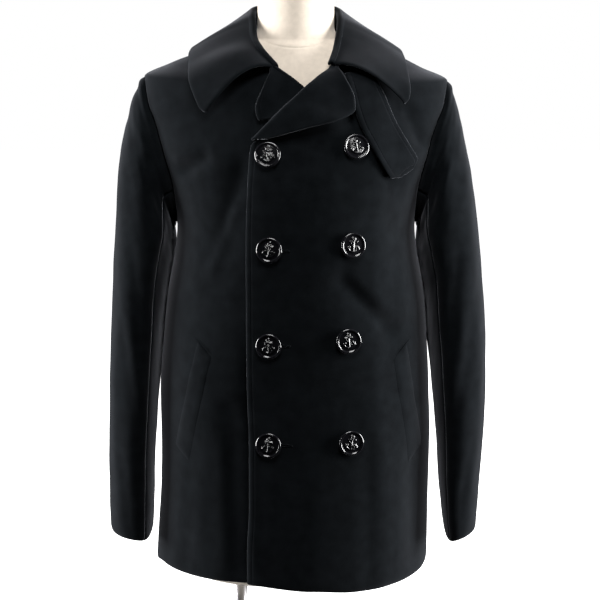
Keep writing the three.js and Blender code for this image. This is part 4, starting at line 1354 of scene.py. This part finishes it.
def lathe(name, profile, turns, x):
    """A closed profile of radius and height carried round an upright axis."""
    r = np.array([p[0] for p in profile])[:, None]
    z = np.array([p[1] for p in profile])[:, None]
    a = np.linspace(0, 2 * math.pi, turns, endpoint=False)[None, :]
    pts = np.stack([x + r * np.cos(a), r * np.sin(a), z + 0 * a], axis=-1).reshape(-1, 3)
    rows = len(profile)
    ids = np.arange(rows * turns).reshape(rows, turns)
    on = np.roll(ids, -1, axis=1)
    quads = np.stack([ids[:-1], on[:-1], on[1:], ids[1:]], axis=-1).reshape(-1, 4).tolist()
    ends = [ids[0][::-1].tolist(), ids[-1].tolist()]
    mesh = bpy.data.meshes.new(name)
    mesh.from_pydata((pts * METRES).tolist(), [], quads + ends)
    mesh.shade_smooth()
    obj = link(mesh, name)
    fix_faces(obj)
    return obj


class MakeStand(bpy.types.Operator):
    """The pole and the round base plate"""

    bl_idname = "pea_coat.stand"
    bl_label = "Stand"

    def execute(self, context):
        pole = lathe("steel_pole", [(10, 8.3), (10, 20), (10, 100), (10, 207.4)], 64, -80)
        plate = lathe("steel_plate", [(188.6, 0.4), (190, 1.2), (190, 6), (189.4, 7.2), (188, 8)], 160, 0)
        for obj, node in ((pole, "stand_pole"), (plate, "stand_base")):
            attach(obj, "root")
            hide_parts(node)
            give(obj, bright_steel)
        return {"FINISHED"}


def strip(name, y, z, reach):
    """A profile in y and z, in metres, drawn out to both sides."""
    pts = np.concatenate([np.stack([np.full_like(y, s), y, z - 0.0005], axis=-1) for s in (-reach, reach)])
    count = len(y)
    k = np.arange(count - 1)
    faces = np.stack([k, k + count, k + count + 1, k + 1], axis=-1)
    mesh = bpy.data.meshes.new(name)
    mesh.from_pydata(pts.tolist(), [], faces.tolist())
    mesh.shade_smooth()
    return link(mesh, name)


class MakeStage(bpy.types.Operator):
    """Pale floor and surroundings, four soft lights and the camera"""

    bl_idname = "pea_coat.stage"
    bl_label = "Stage"

    def execute(self, context):
        settings = context.scene.coat_stage
        floor = strip("floor", np.array([-9.0, 9.0]), np.zeros(2), 9.0)
        give(floor, stage_white)
        floor.visible_diffuse = False
        floor.visible_glossy = False
        for name, place, size, power_w, aim in (
            ("left_softbox", (-2.35, 0.02, 0.72), (0.9, 1.7), settings.side_light, (0, 0, 0.62)),
            ("right_softbox", (2.35, -0.1, 0.8), (0.9, 1.7), settings.side_light * 1.15, (0, 0, 0.62)),
            ("top_softbox", (0.15, -1.3, 2.6), (1.2, 0.9), settings.top_light, (0, 0, 0.7)),
            ("back_softbox", (0.1, 2.2, 1.5), (1.2, 1.0), settings.back_light, (0, 0, 0.6)),
        ):
            data = bpy.data.lights.new(name, "AREA")
            data.shape = "RECTANGLE"
            data.size, data.size_y = size
            data.energy = power_w
            lamp = link(data, name)
            lamp.location = place
            toward = np.array(aim) - np.array(place)
            lamp.rotation_euler = (
                math.acos(-toward[2] / np.linalg.norm(toward)), 0.0, math.atan2(-toward[0], toward[1]))
        world = bpy.data.worlds.new("even_light")
        world.use_nodes = True
        world.node_tree.nodes["Background"].inputs[0].default_value = (1, 1, 1, 1)
        world.node_tree.nodes["Background"].inputs[1].default_value = 1.0
        world.cycles_visibility.diffuse = False
        world.cycles_visibility.glossy = False
        context.scene.world = world
        camera_data = bpy.data.cameras.new("camera")
        camera_data.lens = settings.camera_lens
        camera_data.sensor_width = 36
        camera = link(camera_data, "camera")
        camera.location = (0.0056, -settings.camera_distance, settings.camera_height)
        camera.rotation_euler = (math.pi / 2 - settings.camera_pitch, 0, 0)
        context.scene.camera = camera
        context.scene.view_settings.view_transform = "Standard"
        return {"FINISHED"}


class PeaCoatPanel(bpy.types.Panel):
    """Lists the pieces of the coat in the order they are made"""

    bl_idname = "VIEW3D_PT_pea_coat"
    bl_label = "Pea Coat"
    bl_space_type = "VIEW_3D"
    bl_region_type = "UI"
    bl_category = "Pea Coat"

    def draw(self, context):
        column = self.layout.column()
        for operator in OPERATORS:
            column.operator(operator.bl_idname)
        for name in ("wool", "button", "linen", "steel", "stitch_inset", "stitch_length"):
            column.prop(context.scene.coat_colours, name)
        for name in ("camera_distance", "camera_height", "camera_pitch", "camera_lens"):
            column.prop(context.scene.coat_stage, name)


OPERATORS = (
    MakeForm, MakeStand, MakeFronts, MakeBacks, MakeSleeves, MakeCollar, MakeLatch, MakeWelts, MakeButtons,
    MakeStage,
)
CLASSES = (CoatColours, StageSettings, *OPERATORS, PeaCoatPanel)


def register():
    """Adds the classes and the scene's settings."""
    for item in CLASSES:
        bpy.utils.register_class(item)
    bpy.types.Scene.coat_colours = bpy.props.PointerProperty(type=CoatColours)
    bpy.types.Scene.coat_stage = bpy.props.PointerProperty(type=StageSettings)


def unregister():
    """Takes the classes and the scene's settings out again."""
    del bpy.types.Scene.coat_stage
    del bpy.types.Scene.coat_colours
    for item in reversed(CLASSES):
        bpy.utils.unregister_class(item)


def main():
    register()
    bpy.ops.pea_coat.form()
    bpy.ops.pea_coat.stand()
    bpy.ops.pea_coat.fronts()
    bpy.ops.pea_coat.backs()
    bpy.ops.pea_coat.sleeves()
    bpy.ops.pea_coat.collar()
    bpy.ops.pea_coat.latch()
    bpy.ops.pea_coat.welts()
    bpy.ops.pea_coat.buttons()
    bpy.ops.pea_coat.stage()


if __name__ == "__main__":
    main()
